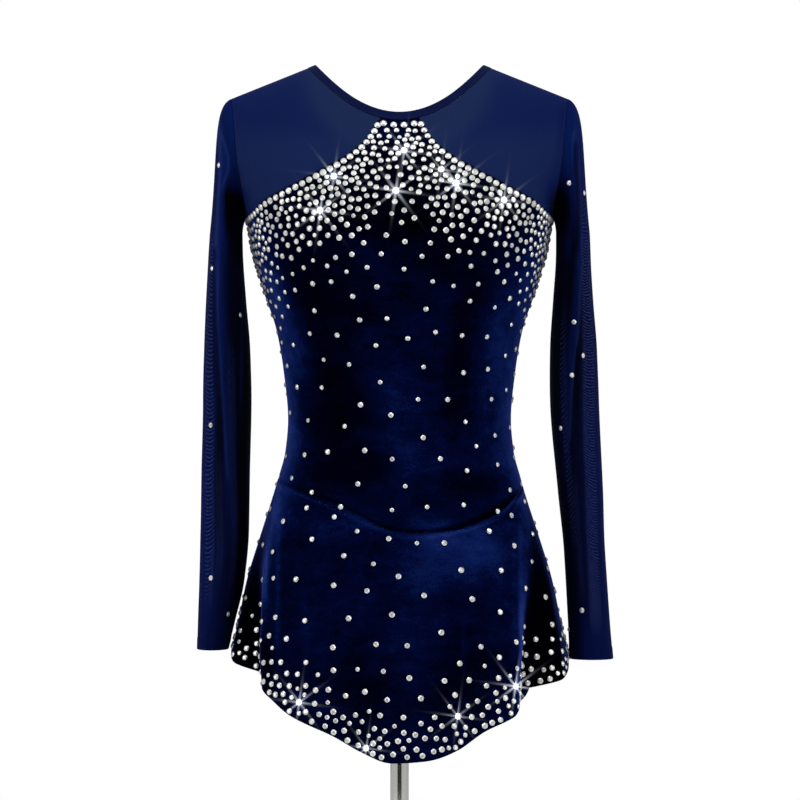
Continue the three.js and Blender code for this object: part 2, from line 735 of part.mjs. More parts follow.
const baseGeometry = () =>
  lathe(
    [
      [0, 0],
      [base.radius, 0],
      [base.radius, base.edge],
      [base.radius - 5, base.edge + 3],
      [base.hubRadius + 4, base.height],
      [base.hubRadius, base.height + 3],
      [base.hubRadius, base.hubHeight - 2],
      [base.hubRadius - 2, base.hubHeight],
      [0, base.hubHeight],
    ],
    48,
  );

// Materials

const material = (color, roughness, metalness = 0) => new THREE.MeshStandardMaterial({ color, roughness, metalness });
const velvet = material(0x0a1640, 0.75);
const net = material(0x111a52, 0.6);
const formSkin = material(0xf1efea, 0.55);
const chrome = material(0xc9c9c6, 0.18, 1);

// The pieces

const dress = new THREE.Group();

function add(name, geometry, finish) {
  const mesh = new THREE.Mesh(geometry, finish);
  mesh.name = name;
  dress.add(mesh);
  return mesh;
}

const frontStops = spread([-sideSeam, -bodicePointAngle, bodicePointAngle, sideSeam], [14, 4, 14]);
add("bodice_front", patchWall(bodiceFrontPoint, shares(frontStops), evenly(15)), velvet);
add("bodice_back", patchWall(bodiceBackPoint, evenly(24), evenly(12)), velvet);

const yokeStops = spread([0, 0.8, 1], [7, 3]);
const yokeRises = spread([0, 0.15, 0.55, 1], [2, 3, 5]);
add(
  "yoke_front_right",
  patchWall(yokeFrontPoint, yokeStops, yokeRises, { thickness: netThickness }),
  net,
);
add(
  "yoke_front_left",
  patchWall(
    (u, v) => {
      const p = yokeFrontPoint(u, v);
      return new Vector3(-p.x, p.y, p.z);
    },
    yokeStops,
    yokeRises,
    { thickness: netThickness, turn: -1 },
  ),
  net,
);
add(
  "yoke_back",
  patchWall(yokeBackPoint, spread([0, 0.1, 0.225, 0.775, 0.9, 1], [3, 2, 16, 2, 3]), yokeRises, {
    thickness: netThickness,
    turn: -1,
  }),
  net,
);
add(
  "neck_binding",
  patchWall(
    (u, v) => neckBandPoint(((u % 1) + 1) % 1, v),
    evenly(32).slice(0, -1),
    [0, 0.5, 1],
    { thickness: netThickness + neck.proud, proud: neck.proud, turn: -1, closed: true },
  ),
  net,
);

add("sleeve_right", sleeveWall("right"), net);
add("sleeve_left", sleeveWall("left"), net);

add("skirt_front", skirtWall(-89.9, 89.9, 48), velvet);
add("skirt_back", skirtWall(90.1, 269.9, 48), velvet);

add("briefs_front", briefsWall(-sideSeam, sideSeam, 20), velvet);
add("briefs_back", briefsWall(90.04, 269.96, 20), velvet);
add("briefs_gusset", patchWall(gussetPoint, evenly(3), evenly(14), { turn: -1, thickness: briefs.thickness }), velvet);

add("dress_form", dressFormGeometry(), formSkin);
add("pole", poleGeometry(), chrome);
add("base", baseGeometry(), chrome);

export default dress;
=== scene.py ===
import math

import bpy
import numpy as np
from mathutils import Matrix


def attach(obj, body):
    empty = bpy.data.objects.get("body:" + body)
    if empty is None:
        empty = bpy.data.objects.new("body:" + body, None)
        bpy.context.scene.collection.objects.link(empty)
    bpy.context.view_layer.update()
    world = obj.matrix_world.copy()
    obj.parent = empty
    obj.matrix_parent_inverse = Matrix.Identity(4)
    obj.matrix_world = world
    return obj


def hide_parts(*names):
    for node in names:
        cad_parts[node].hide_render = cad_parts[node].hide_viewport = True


# A long-sleeved figure skating dress on a dress form. Metres, +Z up, the front faces -Y.
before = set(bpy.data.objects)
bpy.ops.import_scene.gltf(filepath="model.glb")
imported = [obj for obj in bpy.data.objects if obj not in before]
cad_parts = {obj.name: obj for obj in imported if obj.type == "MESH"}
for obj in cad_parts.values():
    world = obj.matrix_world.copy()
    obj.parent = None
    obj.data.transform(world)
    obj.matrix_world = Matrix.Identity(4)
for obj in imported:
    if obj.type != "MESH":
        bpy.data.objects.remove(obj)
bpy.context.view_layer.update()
scene = bpy.context.scene
scene.view_settings.view_transform = "Standard"
print("frame loaded, nodes:", len(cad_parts))


# helpers for shader nodes

def feed(socket, value):
    # an input takes a plain value or another node's output
    if isinstance(value, bpy.types.NodeSocket):
        socket.id_data.links.new(value, socket)
    else:
        socket.default_value = value


def addNode(nodes, kind, **values):
    # a node with its properties and inputs given by name
    node = nodes.new(kind)
    for key, value in values.items():
        if hasattr(node, key):
            setattr(node, key, value)
        else:
            feed(node.inputs[key.replace("_", " ")], value)
    return node


def calc(nodes, operation, *values):
    node = addNode(nodes, "ShaderNodeMath", operation=operation)
    for socket, value in zip(node.inputs, values):
        feed(socket, value)
    return node.outputs["Value"]


def ranged(nodes, value, low, high, start=0.0, end=1.0, kind="LINEAR"):
    # from start where the value is low to end where it is high
    node = addNode(nodes, "ShaderNodeMapRange", interpolation_type=kind, Value=value, From_Min=low,
                   From_Max=high, To_Min=start, To_Max=end)
    return node.outputs["Result"]


def noise(nodes, place, scale, detail, roughness=0.5, distortion=0.0):
    node = addNode(nodes, "ShaderNodeTexNoise", Vector=place, Scale=scale, Detail=detail, Roughness=roughness,
                   Distortion=distortion)
    return node.outputs["Fac"]


def colorRamp(nodes, value, stops):
    ramp = addNode(nodes, "ShaderNodeValToRGB", Fac=value)
    elements = ramp.color_ramp.elements
    while len(elements) < len(stops):
        elements.new(0.5)
    for element, (place, color) in zip(elements, stops):
        element.position = place
        element.color = (*color, 1)
    return ramp.outputs["Color"]


def objectPlace(nodes):
    return addNode(nodes, "ShaderNodeTexCoord").outputs["Object"]


def clothPlace(nodes):
    # the piece's own UV, in metres of cloth
    return addNode(nodes, "ShaderNodeUVMap", uv_map="cloth").outputs["UV"]


def splitXY(nodes, place):
    parts = addNode(nodes, "ShaderNodeSeparateXYZ", Vector=place).outputs
    return parts["X"], parts["Y"]


def shaderGroup(name, inputs, output):
    # an empty node group with named number sockets
    group = bpy.data.node_groups.new(name, "ShaderNodeTree")
    for socket, value in inputs.items():
        made = group.interface.new_socket(socket, in_out="INPUT", socket_type="NodeSocketFloat")
        made.default_value = value
    for socket in output:
        group.interface.new_socket(socket, in_out="OUTPUT", socket_type="NodeSocketFloat")
    return group, group.nodes.new("NodeGroupInput").outputs, group.nodes.new("NodeGroupOutput").inputs


def newMaterial(name, build):
    # build(nodes) gives the shader's inputs by name, with _ for each space
    material = bpy.data.materials.new(name)
    material.use_nodes = True
    nodes = material.node_tree.nodes
    for key, value in build(nodes).items():
        feed(nodes["Principled BSDF"].inputs[key.replace("_", " ")], value)
    return material


# camera, light and room

cameraSettings = {"distance": 5.0, "height": 0.6741, "aside": 0.0005, "acrossAtDress": 0.824, "sensor": 36}
cameraData = bpy.data.cameras.new("camera")
cameraData.sensor_width = cameraSettings["sensor"]
cameraData.lens = cameraSettings["sensor"] * cameraSettings["distance"] / cameraSettings["acrossAtDress"]
cameraData.clip_end = 50
camera = bpy.data.objects.new("camera", cameraData)
camera.location = (cameraSettings["aside"], -cameraSettings["distance"], cameraSettings["height"])
camera.rotation_euler = (math.pi / 2, 0, 0)
scene.collection.objects.link(camera)
scene.camera = camera

lightSettings = {
    "aim": (0, 0, 0.7),
    "lights": {
        "keyLeft": {"place": (-2.3, -1.6, 1.5), "size": (1.2, 1.8), "power": 34},
        "keyRight": {"place": (2.3, -1.5, 1.4), "size": (1.2, 1.8), "power": 34},
        "overhead": {"place": (0.0, -0.9, 2.9), "size": (1.8, 1.2), "power": 26},
    },
}


def areaLight(name, s, aim):
    data = bpy.data.lights.new(name, "AREA")
    data.shape = "RECTANGLE"
    data.size, data.size_y = s["size"]
    data.energy = s["power"]
    light = bpy.data.objects.new(name, data)
    light.location = s["place"]
    x, y, z = np.array(s["place"], float) - np.array(aim, float)
    light.rotation_euler = (math.atan2(math.hypot(x, y), z), 0, math.atan2(x, -y))
    scene.collection.objects.link(light)


for lightName, settings in lightSettings["lights"].items():
    areaLight(lightName, settings, lightSettings["aim"])


def studioWorld():
    # a white room; the side that the camera looks from is a dim patch, as behind a real camera,
    # and mirrors also see a dimmer room behind the object
    s = {"white": 1.0, "room": 0.62, "patch": 0.02, "patchCos": (0.84, 0.95),
         "behind": 0.5, "behindCos": (-0.95, -0.3)}
    world = bpy.data.worlds.new("studio")
    world.use_nodes = True
    scene.world = world
    nodes = world.node_tree.nodes
    nodes.clear()
    dot = addNode(nodes, "ShaderNodeVectorMath", operation="DOT_PRODUCT")
    feed(dot.inputs[0], addNode(nodes, "ShaderNodeTexCoord").outputs["Generated"])
    feed(dot.inputs[1], (0, -1, 0))
    path = addNode(nodes, "ShaderNodeLightPath").outputs
    front = ranged(nodes, dot.outputs["Value"], *s["patchCos"], s["room"], s["patch"])
    behind = ranged(nodes, dot.outputs["Value"], *s["behindCos"], s["behind"], 1.0)
    mirrored = addNode(nodes, "ShaderNodeMix", Factor=path["Is Glossy Ray"], A=1.0, B=behind)
    room = calc(nodes, "MULTIPLY", front, mirrored.outputs["Result"])
    seen = addNode(nodes, "ShaderNodeMix", Factor=path["Is Camera Ray"], A=room, B=s["white"])
    background = addNode(nodes, "ShaderNodeBackground", Color=(1, 1, 1, 1), Strength=seen.outputs["Result"])
    addNode(nodes, "ShaderNodeOutputWorld", Surface=background.outputs["Background"])


studioWorld()
print("camera, lights and room made")


# curves through tables

def table(columns, rows):
    return dict(zip(columns.split(), np.array(rows, float).T))


def curveThrough(at, value, period=0.0):
    # cubic pieces between the rows; each slope is the harmonic mean of its neighbours, so nothing overshoots
    start = at[0]
    if period:
        at = np.concatenate([at[-2:] - period, at, at[:2] + period])
        value = np.concatenate([value[-2:], value, value[:2]])
    slope = np.diff(value) / np.diff(at)
    product, total = slope[:-1] * slope[1:], slope[:-1] + slope[1:]
    inner = np.where(product > 0, 2 * product / np.where(product > 0, total, 1), 0)
    tangent = np.concatenate([slope[:1], inner, slope[-1:]])

    def curve(where):
        w = np.asarray(where, float)
        w = start + (w - start) % period if period else w
        w = np.clip(w, at[0], at[-1])
        i = np.clip(np.searchsorted(at, w, side="right") - 1, 0, len(at) - 2)
        span = at[i + 1] - at[i]
        t = (w - at[i]) / span
        rise = t * t * (3 - 2 * t)
        bend = tangent[i] * t * (1 - t) ** 2 - tangent[i + 1] * t * t * (1 - t)
        return value[i] * (1 - rise) + value[i + 1] * rise + span * bend

    return curve


def curves(rows, key, period=0.0):
    return {name: curveThrough(rows[key], rows[name], period) for name in rows if name != key}


def mix(a, b, t):
    # a straight blend: a at t = 0, b at t = 1
    return a + (b - a) * t


def ease(low, high, value):
    # 3t^2 - 2t^3, from 0 at low to 1 at high
    t = np.clip((value - low) / (high - low), 0, 1)
    return t * t * (3 - 2 * t)


def finer(t):
    # a quarter of a sine: its steps get shorter towards 1
    return np.sin(t * np.pi / 2)


def angleApart(a, b):
    # degrees from b to a, the short way round
    return (a - b + 540) % 360 - 180


def trough(away, width):
    # depth 1 in the middle, 0 from the half width outwards: cos squared
    return np.where(np.abs(away) < width, np.cos(np.clip(away / width, -1, 1) * np.pi / 2) ** 2, 0)


# the dress's sizes, as in the part's source

velvetThickness, netThickness, briefsThickness = 0.0015, 0.0011, 0.0012
seamGap, curvedSeamGap = 0.0003, 0.0005
waistGap = 0.1 * seamGap  # from the waist seam's line to the cloth on either side
ridge = {"neckHalf": 0.091, "neckHeight": 1.017, "slope": 0.4, "roll": 0.045}
neck = {
    "half": 0.0866, "bandHalf": 0.0941, "frontLow": 0.967, "backLow": 0.962, "band": 0.008, "proud": 0.0004,
}
armpitHeight = 0.860
bodicePointAngle = 6.2
sideSeam = 90 - 0.04

torso = curves(table("z half front back square", [
    (0.425, 0.145, 0.098, 0.108, 2.3),
    (0.468, 0.147, 0.100, 0.112, 2.3),
    (0.509, 0.143, 0.098, 0.107, 2.25),
    (0.550, 0.135, 0.095, 0.098, 2.2),
    (0.591, 0.1255, 0.092, 0.087, 2.2),
    (0.622, 0.1175, 0.089, 0.078, 2.2),
    (0.654, 0.1148, 0.088, 0.075, 2.2),
    (0.705, 0.1195, 0.091, 0.077, 2.2),
    (0.746, 0.1267, 0.099, 0.082, 2.25),
    (0.787, 0.1404, 0.111, 0.089, 2.3),
    (0.828, 0.152, 0.118, 0.095, 2.35),
    (0.860, 0.1576, 0.115, 0.098, 2.5),
    (0.880, 0.163, 0.109, 0.098, 2.7),
    (0.920, 0.177, 0.093, 0.092, 2.8),
    (0.960, 0.186, 0.069, 0.072, 2.8),
    (0.990, 0.188, 0.058, 0.060, 2.8),
    (1.030, 0.190, 0.052, 0.053, 2.8),
]), "z")
armholeX = curves(table("z x", [
    (0.860, 0.1576), (0.868, 0.1583), (0.880, 0.160), (0.892, 0.162),
    (0.920, 0.166), (0.945, 0.1685), (0.985, 0.173),
]), "z")["x"]
bodiceTop = curves(table("angle z", [
    (6, 0.9615), (8.7, 0.946), (12, 0.9335), (16, 0.924), (20.3, 0.916), (33.5, 0.8986),
    (45, 0.8865), (58.5, 0.8753), (71, 0.865), (80, 0.861), (90, 0.8597),
]), "angle")["z"]
backTop = curves(table("angle z", [(90, 0.8597), (105, 0.863), (135, 0.879), (180, 0.889)]), "angle")["z"]
waistSeam = curves(table("angle z", [
    (-90, 0.594), (-67, 0.586), (-40, 0.5715), (-24, 0.5585), (-11, 0.547), (0, 0.5415), (12, 0.540),
    (27, 0.5425), (42, 0.550), (55, 0.5605), (66, 0.572), (78, 0.581), (90, 0.587), (120, 0.582),
    (150, 0.566), (180, 0.560), (210, 0.566), (240, 0.583),
]), "angle", 360)["z"]
hemLine = curves(table("angle z", [
    (-90, 0.416), (-78, 0.404), (-66, 0.393), (-50, 0.3765), (-38, 0.356), (-24, 0.339), (-12.5, 0.3205),
    (-2, 0.3095), (8, 0.3115), (19, 0.322), (30, 0.342), (42, 0.357), (50, 0.373), (64, 0.384), (78, 0.395),
    (90, 0.411), (120, 0.382), (150, 0.335), (180, 0.312), (210, 0.335), (240, 0.386),
]), "angle", 360)["z"]
skirtBody = curves(table("z half front back", [
    (0.310, 0.186, 0.134, 0.139), (0.360, 0.180, 0.128, 0.133), (0.416, 0.173, 0.121, 0.126),
    (0.447, 0.166, 0.116, 0.121), (0.488, 0.1575, 0.110, 0.115), (0.530, 0.145, 0.102, 0.106),
    (0.571, 0.132, 0.095, 0.094), (0.594, 0.125, 0.092, 0.087),
]), "z")
skirtFolds = table("angle depth width start lean bow", [
    (-65.5, 0.027, 11, 0.1, -11, -3.5), (-17, 0.006, 8, 0.45, 0, 0), (24, 0.006, 8, 0.45, 0, 0),
    (55.5, 0.029, 11, 0.1, 11, 0), (117, 0.022, 12, 0.1, -4, 0), (149, 0.013, 11, 0.25, 0, 0),
    (182, 0.016, 12, 0.15, 0, 0), (214, 0.012, 11, 0.25, 0, 0), (244, 0.023, 12, 0.1, 4, 0),
])
legLine = curves(table("angle z", [
    (0, 0.432), (12, 0.432), (25, 0.446), (45, 0.476), (66, 0.506), (90, 0.524),
    (114, 0.500), (138, 0.464), (158, 0.439), (168, 0.432), (180, 0.432),
]), "angle")["z"]
sleeveColumns = "z middle half depth"
sleeveSizes = {
    "left": curves(table(sleeveColumns, [
        (0.418, 0.1923, 0.016, 0.038), (0.447, 0.1884, 0.0192, 0.038), (0.488, 0.183, 0.0232, 0.039),
        (0.540, 0.180, 0.025, 0.041), (0.600, 0.179, 0.025, 0.045), (0.674, 0.1774, 0.025, 0.050),
        (0.725, 0.1775, 0.0238, 0.053), (0.777, 0.1786, 0.0206, 0.056), (0.818, 0.179, 0.018, 0.056),
        (0.850, 0.1784, 0.0166, 0.052),
    ]), "z"),
    "right": curves(table(sleeveColumns, [
        (0.408, 0.1974, 0.0225, 0.034), (0.447, 0.195, 0.0216, 0.036), (0.519, 0.1905, 0.0212, 0.040),
        (0.581, 0.1863, 0.0233, 0.044), (0.674, 0.1802, 0.0252, 0.050), (0.725, 0.1792, 0.0242, 0.053),
        (0.777, 0.1788, 0.0206, 0.056), (0.818, 0.179, 0.018, 0.056), (0.850, 0.1785, 0.0173, 0.052),
    ]), "z"),
}
cuffHeight = {"left": 0.418, "right": 0.408}
sleeveHead = {
    "foot": 0.845, "share": 0.24, "shoulderReach": 0.020, "shoulderDrop": 0.084, "shoulderIn": 0.009,
    "underarmReach": 0.002, "underarmDrop": 0.005,
}
sleeveFolds = table("angle depth width start end", [
    (52, 0.0045, 20, 0.16, 0.95), (118, 0.005, 17, 0.12, 0.98),
    (232, 0.0045, 20, 0.14, 0.97), (302, 0.004, 19, 0.2, 0.9),
])
briefsInset, briefsDrop = 0.0021, 0.0004
gusset = {"halfEnd": 0.029, "halfMiddle": 0.022, "aside": 0.035, "drop": 0.026, "below": 0.0006}

# the body's outer face

def stack(x, y, z):
    # points from three arrays of coordinates
    return np.stack(np.broadcast_arrays(x, y, z), axis=-1)


def ridgeHeight(x):
    # the shoulder line falls evenly from the neck
    return ridge["neckHeight"] - ridge["slope"] * (np.abs(x) - ridge["neckHalf"])


topRise = ridge["roll"] * math.pi / 2
shoulderSeamRise = topRise - seamGap / 2


def heightAt(x, rise):
    # straight up to the start of the shoulder's roll, then along a quarter circle
    start = ridgeHeight(x) - ridge["roll"]
    return start + np.where(rise < 0, rise, ridge["roll"] * np.sin(rise / ridge["roll"]))


def riseAt(x, z):
    # the inverse of heightAt
    above = z - (ridgeHeight(x) - ridge["roll"])
    return np.where(above < 0, above, ridge["roll"] * np.arcsin(np.clip(above / ridge["roll"], -1, 1)))


def sectionShare(ratio, square):
    # superellipse: y = (1 - |x|^n)^(1/n)
    return (1 - np.clip(np.abs(ratio), 0, 1) ** square) ** (1 / square)


def torsoPoint(x, rise, side):
    # a superellipse section at each height, drawn in to the ridge along the shoulder's quarter circle
    z = heightAt(x, rise)
    depth = torso["front"](z) if side < 0 else torso["back"](z)
    rolled = np.where(rise < 0, 1, np.cos(rise / ridge["roll"]))
    return stack(x, side * depth * sectionShare(x / torso["half"](z), torso["square"](z)) * rolled, z)


def ringPoint(sizes, square, angle, z, inset=0.0):
    # a superellipse ring: x = half sin a, y = -front or back times the section's share
    sine, front = np.sin(np.radians(angle)), np.cos(np.radians(angle)) >= 0
    depth = np.where(front, -(sizes["front"](z) - inset), sizes["back"](z) - inset)
    return stack((sizes["half"](z) - inset) * sine, depth * sectionShare(sine, square), z)


def torsoRing(angle, z, inset=0.0):
    # the same ring of the body itself
    return ringPoint(torso, torso["square"](z), angle, z, inset)


def neckHeight(x, half, low):
    # a parabola from the middle up to the ridge
    return low + (ridgeHeight(half) - low) * (x / half) ** 2


def bandEdge(x, side):
    # height of the neck band's outer edge: the same parabola, a band's width lower in the middle
    low = neck["frontLow"] if side < 0 else neck["backLow"]
    return neckHeight(x, neck["bandHalf"], low - neck["band"])


yokeNeckX = neck["bandHalf"] + seamGap


def yokeNeckEdge(x, side):
    # (x, rise) of the yoke's edge: the band's edge, drawn out in x and a seam's gap lower
    under = x * neck["bandHalf"] / yokeNeckX
    gap = mix(curvedSeamGap, seamGap / 2, (x / yokeNeckX) ** 2)
    return x, riseAt(under, bandEdge(under, side)) - gap


armpitRise = float(riseAt(armholeX(armpitHeight), armpitHeight))


def armholeSeam(rise):
    # x of the armhole at a rise, which itself needs the height at that x: four rounds settle it
    x = armholeX(armpitHeight)
    for _ in range(4):
        x = armholeX(heightAt(x, rise))
    return x


# meshes from grids of points

def gridNormals(points, closed):
    # the cross product of the two directions of the grid
    if closed:
        along = np.roll(points, -1, 1) - np.roll(points, 1, 1)
    else:
        along = np.gradient(points, axis=1)
    normal = np.cross(along, np.gradient(points, axis=0))
    return normal / np.maximum(np.linalg.norm(normal, axis=-1, keepdims=True), 1e-12)


def gridQuads(rows, columns, closed, first=0):
    # four corners of each cell, as numbers of points counted row by row
    spans = columns if closed else columns - 1
    j, i = np.meshgrid(np.arange(rows - 1), np.arange(spans), indexing="ij")
    k = (i + 1) % columns
    quads = np.stack([j * columns + i, j * columns + k, (j + 1) * columns + k, (j + 1) * columns + i], -1)
    return quads.reshape(-1, 4) + first


def rimQuads(a, b, closed):
    # faces that join the outer wall's edge a to the inner wall's edge b
    if closed:
        a, b = np.append(a, a[0]), np.append(b, b[0])
    return np.stack([a[1:], a[:-1], b[:-1], b[1:]], -1)


def makeMesh(name, points, quads, material, uv=None, crisp=50, toneAndShade=None):
    # edges sharper than crisp degrees stay sharp
    mesh = bpy.data.meshes.new(name)
    mesh.vertices.add(len(points))
    mesh.vertices.foreach_set("co", np.asarray(points, np.float32).ravel())
    corners = quads.shape[1]
    mesh.loops.add(len(quads) * corners)
    mesh.loops.foreach_set("vertex_index", quads.astype(np.int32).ravel())
    mesh.polygons.add(len(quads))
    mesh.polygons.foreach_set("loop_start", np.arange(0, len(quads) * corners, corners, dtype=np.int32))
    if uv is not None:
        layer = mesh.uv_layers.new(name="cloth")
        layer.uv.foreach_set("vector", np.asarray(uv, np.float32)[quads.ravel()].ravel())
    if toneAndShade is not None:
        mesh.attributes.new("toneAndShade", "FLOAT", "POINT").data.foreach_set("value", np.asarray(toneAndShade, np.float32))
    mesh.update(calc_edges=True)
    mesh.validate()
    mesh.shade_smooth()
    mesh.set_sharp_from_angle(angle=math.radians(crisp))
    mesh.materials.append(material)
    made = bpy.data.objects.new(name, mesh)
    scene.collection.objects.link(made)
    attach(made, "root")
    return made


def clothPiece(name, surface, s, material, turn=1, closed=False):
    # a closed thin wall: the outer face is surface(u, v), the inner one lies a thickness inside it
    us = np.linspace(0, 1, s["columns"] + (0 if closed else 1), endpoint=not closed)
    vs = np.unique(np.concatenate([np.linspace(0, 1, s["rows"] + 1), s.get("extraRows", [])]))
    if turn < 0:
        us = us[::-1]
    u, v = np.meshgrid(us, vs)
    face = surface(u, v)
    normal = gridNormals(face, closed)
    wall = s["thickness"] * np.ones_like(u)[..., None]
    proud = s.get("proud", 0.0)
    raised = (proud + (s["relief"](u, v, face) if "relief" in s else 0 * u))[..., None]
    outer, inner = face + normal * raised, face + normal * (raised - wall)
    rows, columns = u.shape
    count = rows * columns
    quads = [gridQuads(rows, columns, closed), gridQuads(rows, columns, closed, count)[:, ::-1]]
    index = np.arange(count).reshape(rows, columns)
    quads.append(rimQuads(index[0], index[0] + count, closed))
    quads.append(rimQuads(index[-1][::-1], index[-1][::-1] + count, closed))
    if not closed:
        quads.append(rimQuads(index[::-1, 0], index[::-1, 0] + count, False))
        quads.append(rimQuads(index[:, -1], index[:, -1] + count, False))
    points = np.concatenate([outer.reshape(-1, 3), inner.reshape(-1, 3)])
    uv = np.stack([u * s["flat"][0], v * s["flat"][1]], -1).reshape(-1, 2)
    # each point's tone and painted light and shade, for the shaders
    toneAndShade = np.tile(s.get("shade", napAndShadeAt)(face).ravel(), 2)
    return makeMesh(name, points, np.concatenate(quads), material, np.concatenate([uv, uv]), toneAndShade=toneAndShade)


# patches of brighter (+) or darker (-) velvet: the crushed pile's own tone, and painted light and shade where
# the light falls
napAndShadeTable = table("angle z wide high amount", [
    (0, 0.870, 60, 0.060, -1.10),
    (-42, 0.700, 17, 0.100, -1.00),
    (36, 0.700, 9, 0.110, -0.60),
    (-12, 0.780, 16, 0.030, -0.30),
    (-2, 0.685, 14, 0.040, 0.45),
    (6, 0.620, 18, 0.030, 0.75),
    (54, 0.735, 14, 0.055, 0.60),
    (62, 0.660, 14, 0.060, 0.60),
    (-66, 0.770, 9, 0.050, 0.75),
    (-58, 0.725, 8, 0.040, 0.50),
    (-80, 0.640, 12, 0.060, 0.60),
    (46, 0.590, 20, 0.010, -0.70),
    (-34, 0.605, 26, 0.020, -0.80),
    (24, 0.535, 18, 0.020, 0.90),
    (42, 0.520, 16, 0.030, 1.20),
    (12, 0.500, 16, 0.022, 0.60),
    (-26, 0.548, 30, 0.014, 0.50),
    (-68, 0.560, 12, 0.020, 0.60),
    (6, 0.440, 18, 0.045, 0.40),
    (-16, 0.385, 20, 0.030, -0.40),
    (24, 0.395, 12, 0.040, -0.50),
    (110, 0.700, 24, 0.060, -0.35),
    (150, 0.660, 20, 0.050, 0.45),
    (205, 0.720, 22, 0.060, -0.40),
    (245, 0.640, 18, 0.040, 0.35),
    (170, 0.500, 20, 0.045, 0.60),
    (222, 0.480, 16, 0.040, -0.30),
    (180, 0.850, 50, 0.040, -0.45),
])


# painted highlights: upright lighter streaks along the folds of the skirt's front, by x
foldHighlightTable = table("x z wide high amount", [
    (-0.1400, 0.470, 0.0075, 0.075, 1.2),
    (-0.1360, 0.500, 0.0018, 0.075, 0.9),
    (-0.1235, 0.485, 0.0030, 0.080, 1.0),
    (-0.0950, 0.430, 0.0060, 0.040, 0.3),
    (0.0640, 0.420, 0.0020, 0.030, 0.5),
    (0.1160, 0.470, 0.0025, 0.060, 0.5),
    (0.1230, 0.465, 0.0030, 0.080, 0.9),
])


def napAndShadeAt(point):
    # a sum of soft spots, each an amount times a Gaussian in angle and height: the pile's tone and painted
    # light and shade;
    # painted highlights along the skirt's folds, a painted shadow line just above the waist seam and a
    # painted highlight below it, and painted shade on the skirt's side wings
    angle = np.degrees(np.arctan2(point[..., 0], -point[..., 1]))
    z = point[..., 2]
    total = np.zeros(angle.shape)
    for a, at, wide, high, amount in zip(*napAndShadeTable.values()):
        total += amount * np.exp(-((angleApart(angle, a) / wide) ** 2) - ((z - at) / high) ** 2)
    above = z - waistSeam(angle)
    onSkirt = ease(0.004, 0.02, -above) * (np.abs(angle) < 84)
    # painted highlights along the folds of the skirt's front
    for x, at, wide, high, amount in zip(*foldHighlightTable.values()):
        total += amount * onSkirt * np.exp(-(((point[..., 0] - x) / wide) ** 2) - ((z - at) / high) ** 2)
    toRight = ease(-20, 55, angle) * (np.abs(angle) < 100)
    # a painted shadow line just above the waist seam, deeper towards the right, and a painted highlight just
    # below it
    total += -mix(0.9, 2.2, toRight) * np.exp(-(((above - 0.0008) / mix(0.0016, 0.0030, toRight)) ** 2))
    total += mix(0.5, 0.8, toRight) * np.exp(-(((above + 0.0050) / 0.0026) ** 2))
    # painted shade on the skirt's side wings, behind the front's folds; lower down it reaches further round
    # towards the front
    wing = np.clip((0.585 - z) / 0.17, 0, 1)
    start = mix(84, 58, wing)
    wingShade = ease(start - 5, start + 3, np.abs(angle)) * (np.abs(angle) < 102) * ease(0.002, 0.02, -above)
    return total - 2.2 * wingShade


# painted highlights (+) and painted shade (-) of the net's folds round the armholes: spots, and lines by
# their x at each z
netShadeSpots = table("x z wide high amount", [
    (0.1633, 0.8676, 0.0085, 0.017, -1.35),
    (0.1592, 0.8717, 0.0115, 0.030, -0.90),
    (-0.1684, 0.8655, 0.0095, 0.019, -1.30),
    (-0.1663, 0.8696, 0.0100, 0.020, -0.70),
    (-0.1766, 0.8840, 0.0035, 0.010, -0.60),
    (-0.1610, 0.8943, 0.0080, 0.003, 0.22),
])
netShadeLines = [
    {"wide": 0.0017, "amount": 0.42, "z": (0.8885, 0.8970, 0.9072, 0.9190, 0.9324, 0.9479, 0.9623),
     "x": (-0.1801, -0.1788, -0.1751, -0.1743, -0.1777, -0.1830, -0.1861)},
    {"wide": 0.0018, "amount": 0.50, "z": (0.8294, 0.8552, 0.8801, 0.8937, 0.9173, 0.9494),
     "x": (-0.1886, -0.1869, -0.1856, -0.1844, -0.1835, -0.1852)},
    {"wide": 0.0035, "amount": -0.22, "z": (0.9005, 0.9108, 0.9314, 0.9520, 0.9705),
     "x": (-0.1663, -0.1694, -0.1736, -0.1787, -0.1808)},
    {"wide": 0.0016, "amount": 0.38, "z": (0.8645, 0.8954, 0.9160, 0.9314, 0.9520),
     "x": (0.1808, 0.1787, 0.1766, 0.1766, 0.1797)},
    {"wide": 0.0035, "amount": -0.62, "z": (0.8233, 0.8439, 0.8645, 0.8902, 0.9108, 0.9366),
     "x": (0.1797, 0.1818, 0.1828, 0.1818, 0.1797, 0.1808)},
    {"wide": 0.0030, "amount": -0.28, "z": (0.9108, 0.9314, 0.9520, 0.9777),
     "x": (0.1602, 0.1633, 0.1653, 0.1674)},
    {"wide": 0.0012, "amount": 0.26, "z": (0.5936, 0.6327, 0.6687, 0.7099, 0.7511, 0.7872, 0.8160),
     "x": (-0.1751, -0.1777, -0.1797, -0.1823, -0.1849, -0.1864, -0.1875)},
    {"wide": 0.0010, "amount": 0.12, "z": (0.6739, 0.7357, 0.7666, 0.7893, 0.8099),
     "x": (-0.1622, -0.1612, -0.1607, -0.1622, -0.1653)},
    {"wide": 0.0013, "amount": 0.26, "z": (0.6327, 0.6739, 0.6966, 0.7233, 0.7460, 0.7769, 0.8160),
     "x": (0.1736, 0.1751, 0.1766, 0.1792, 0.1818, 0.1838, 0.1869)},
    {"wide": 0.0018, "amount": -0.50, "z": (0.6636, 0.6893, 0.7099, 0.7305),
     "x": (0.1797, 0.1803, 0.1813, 0.1828)},
]


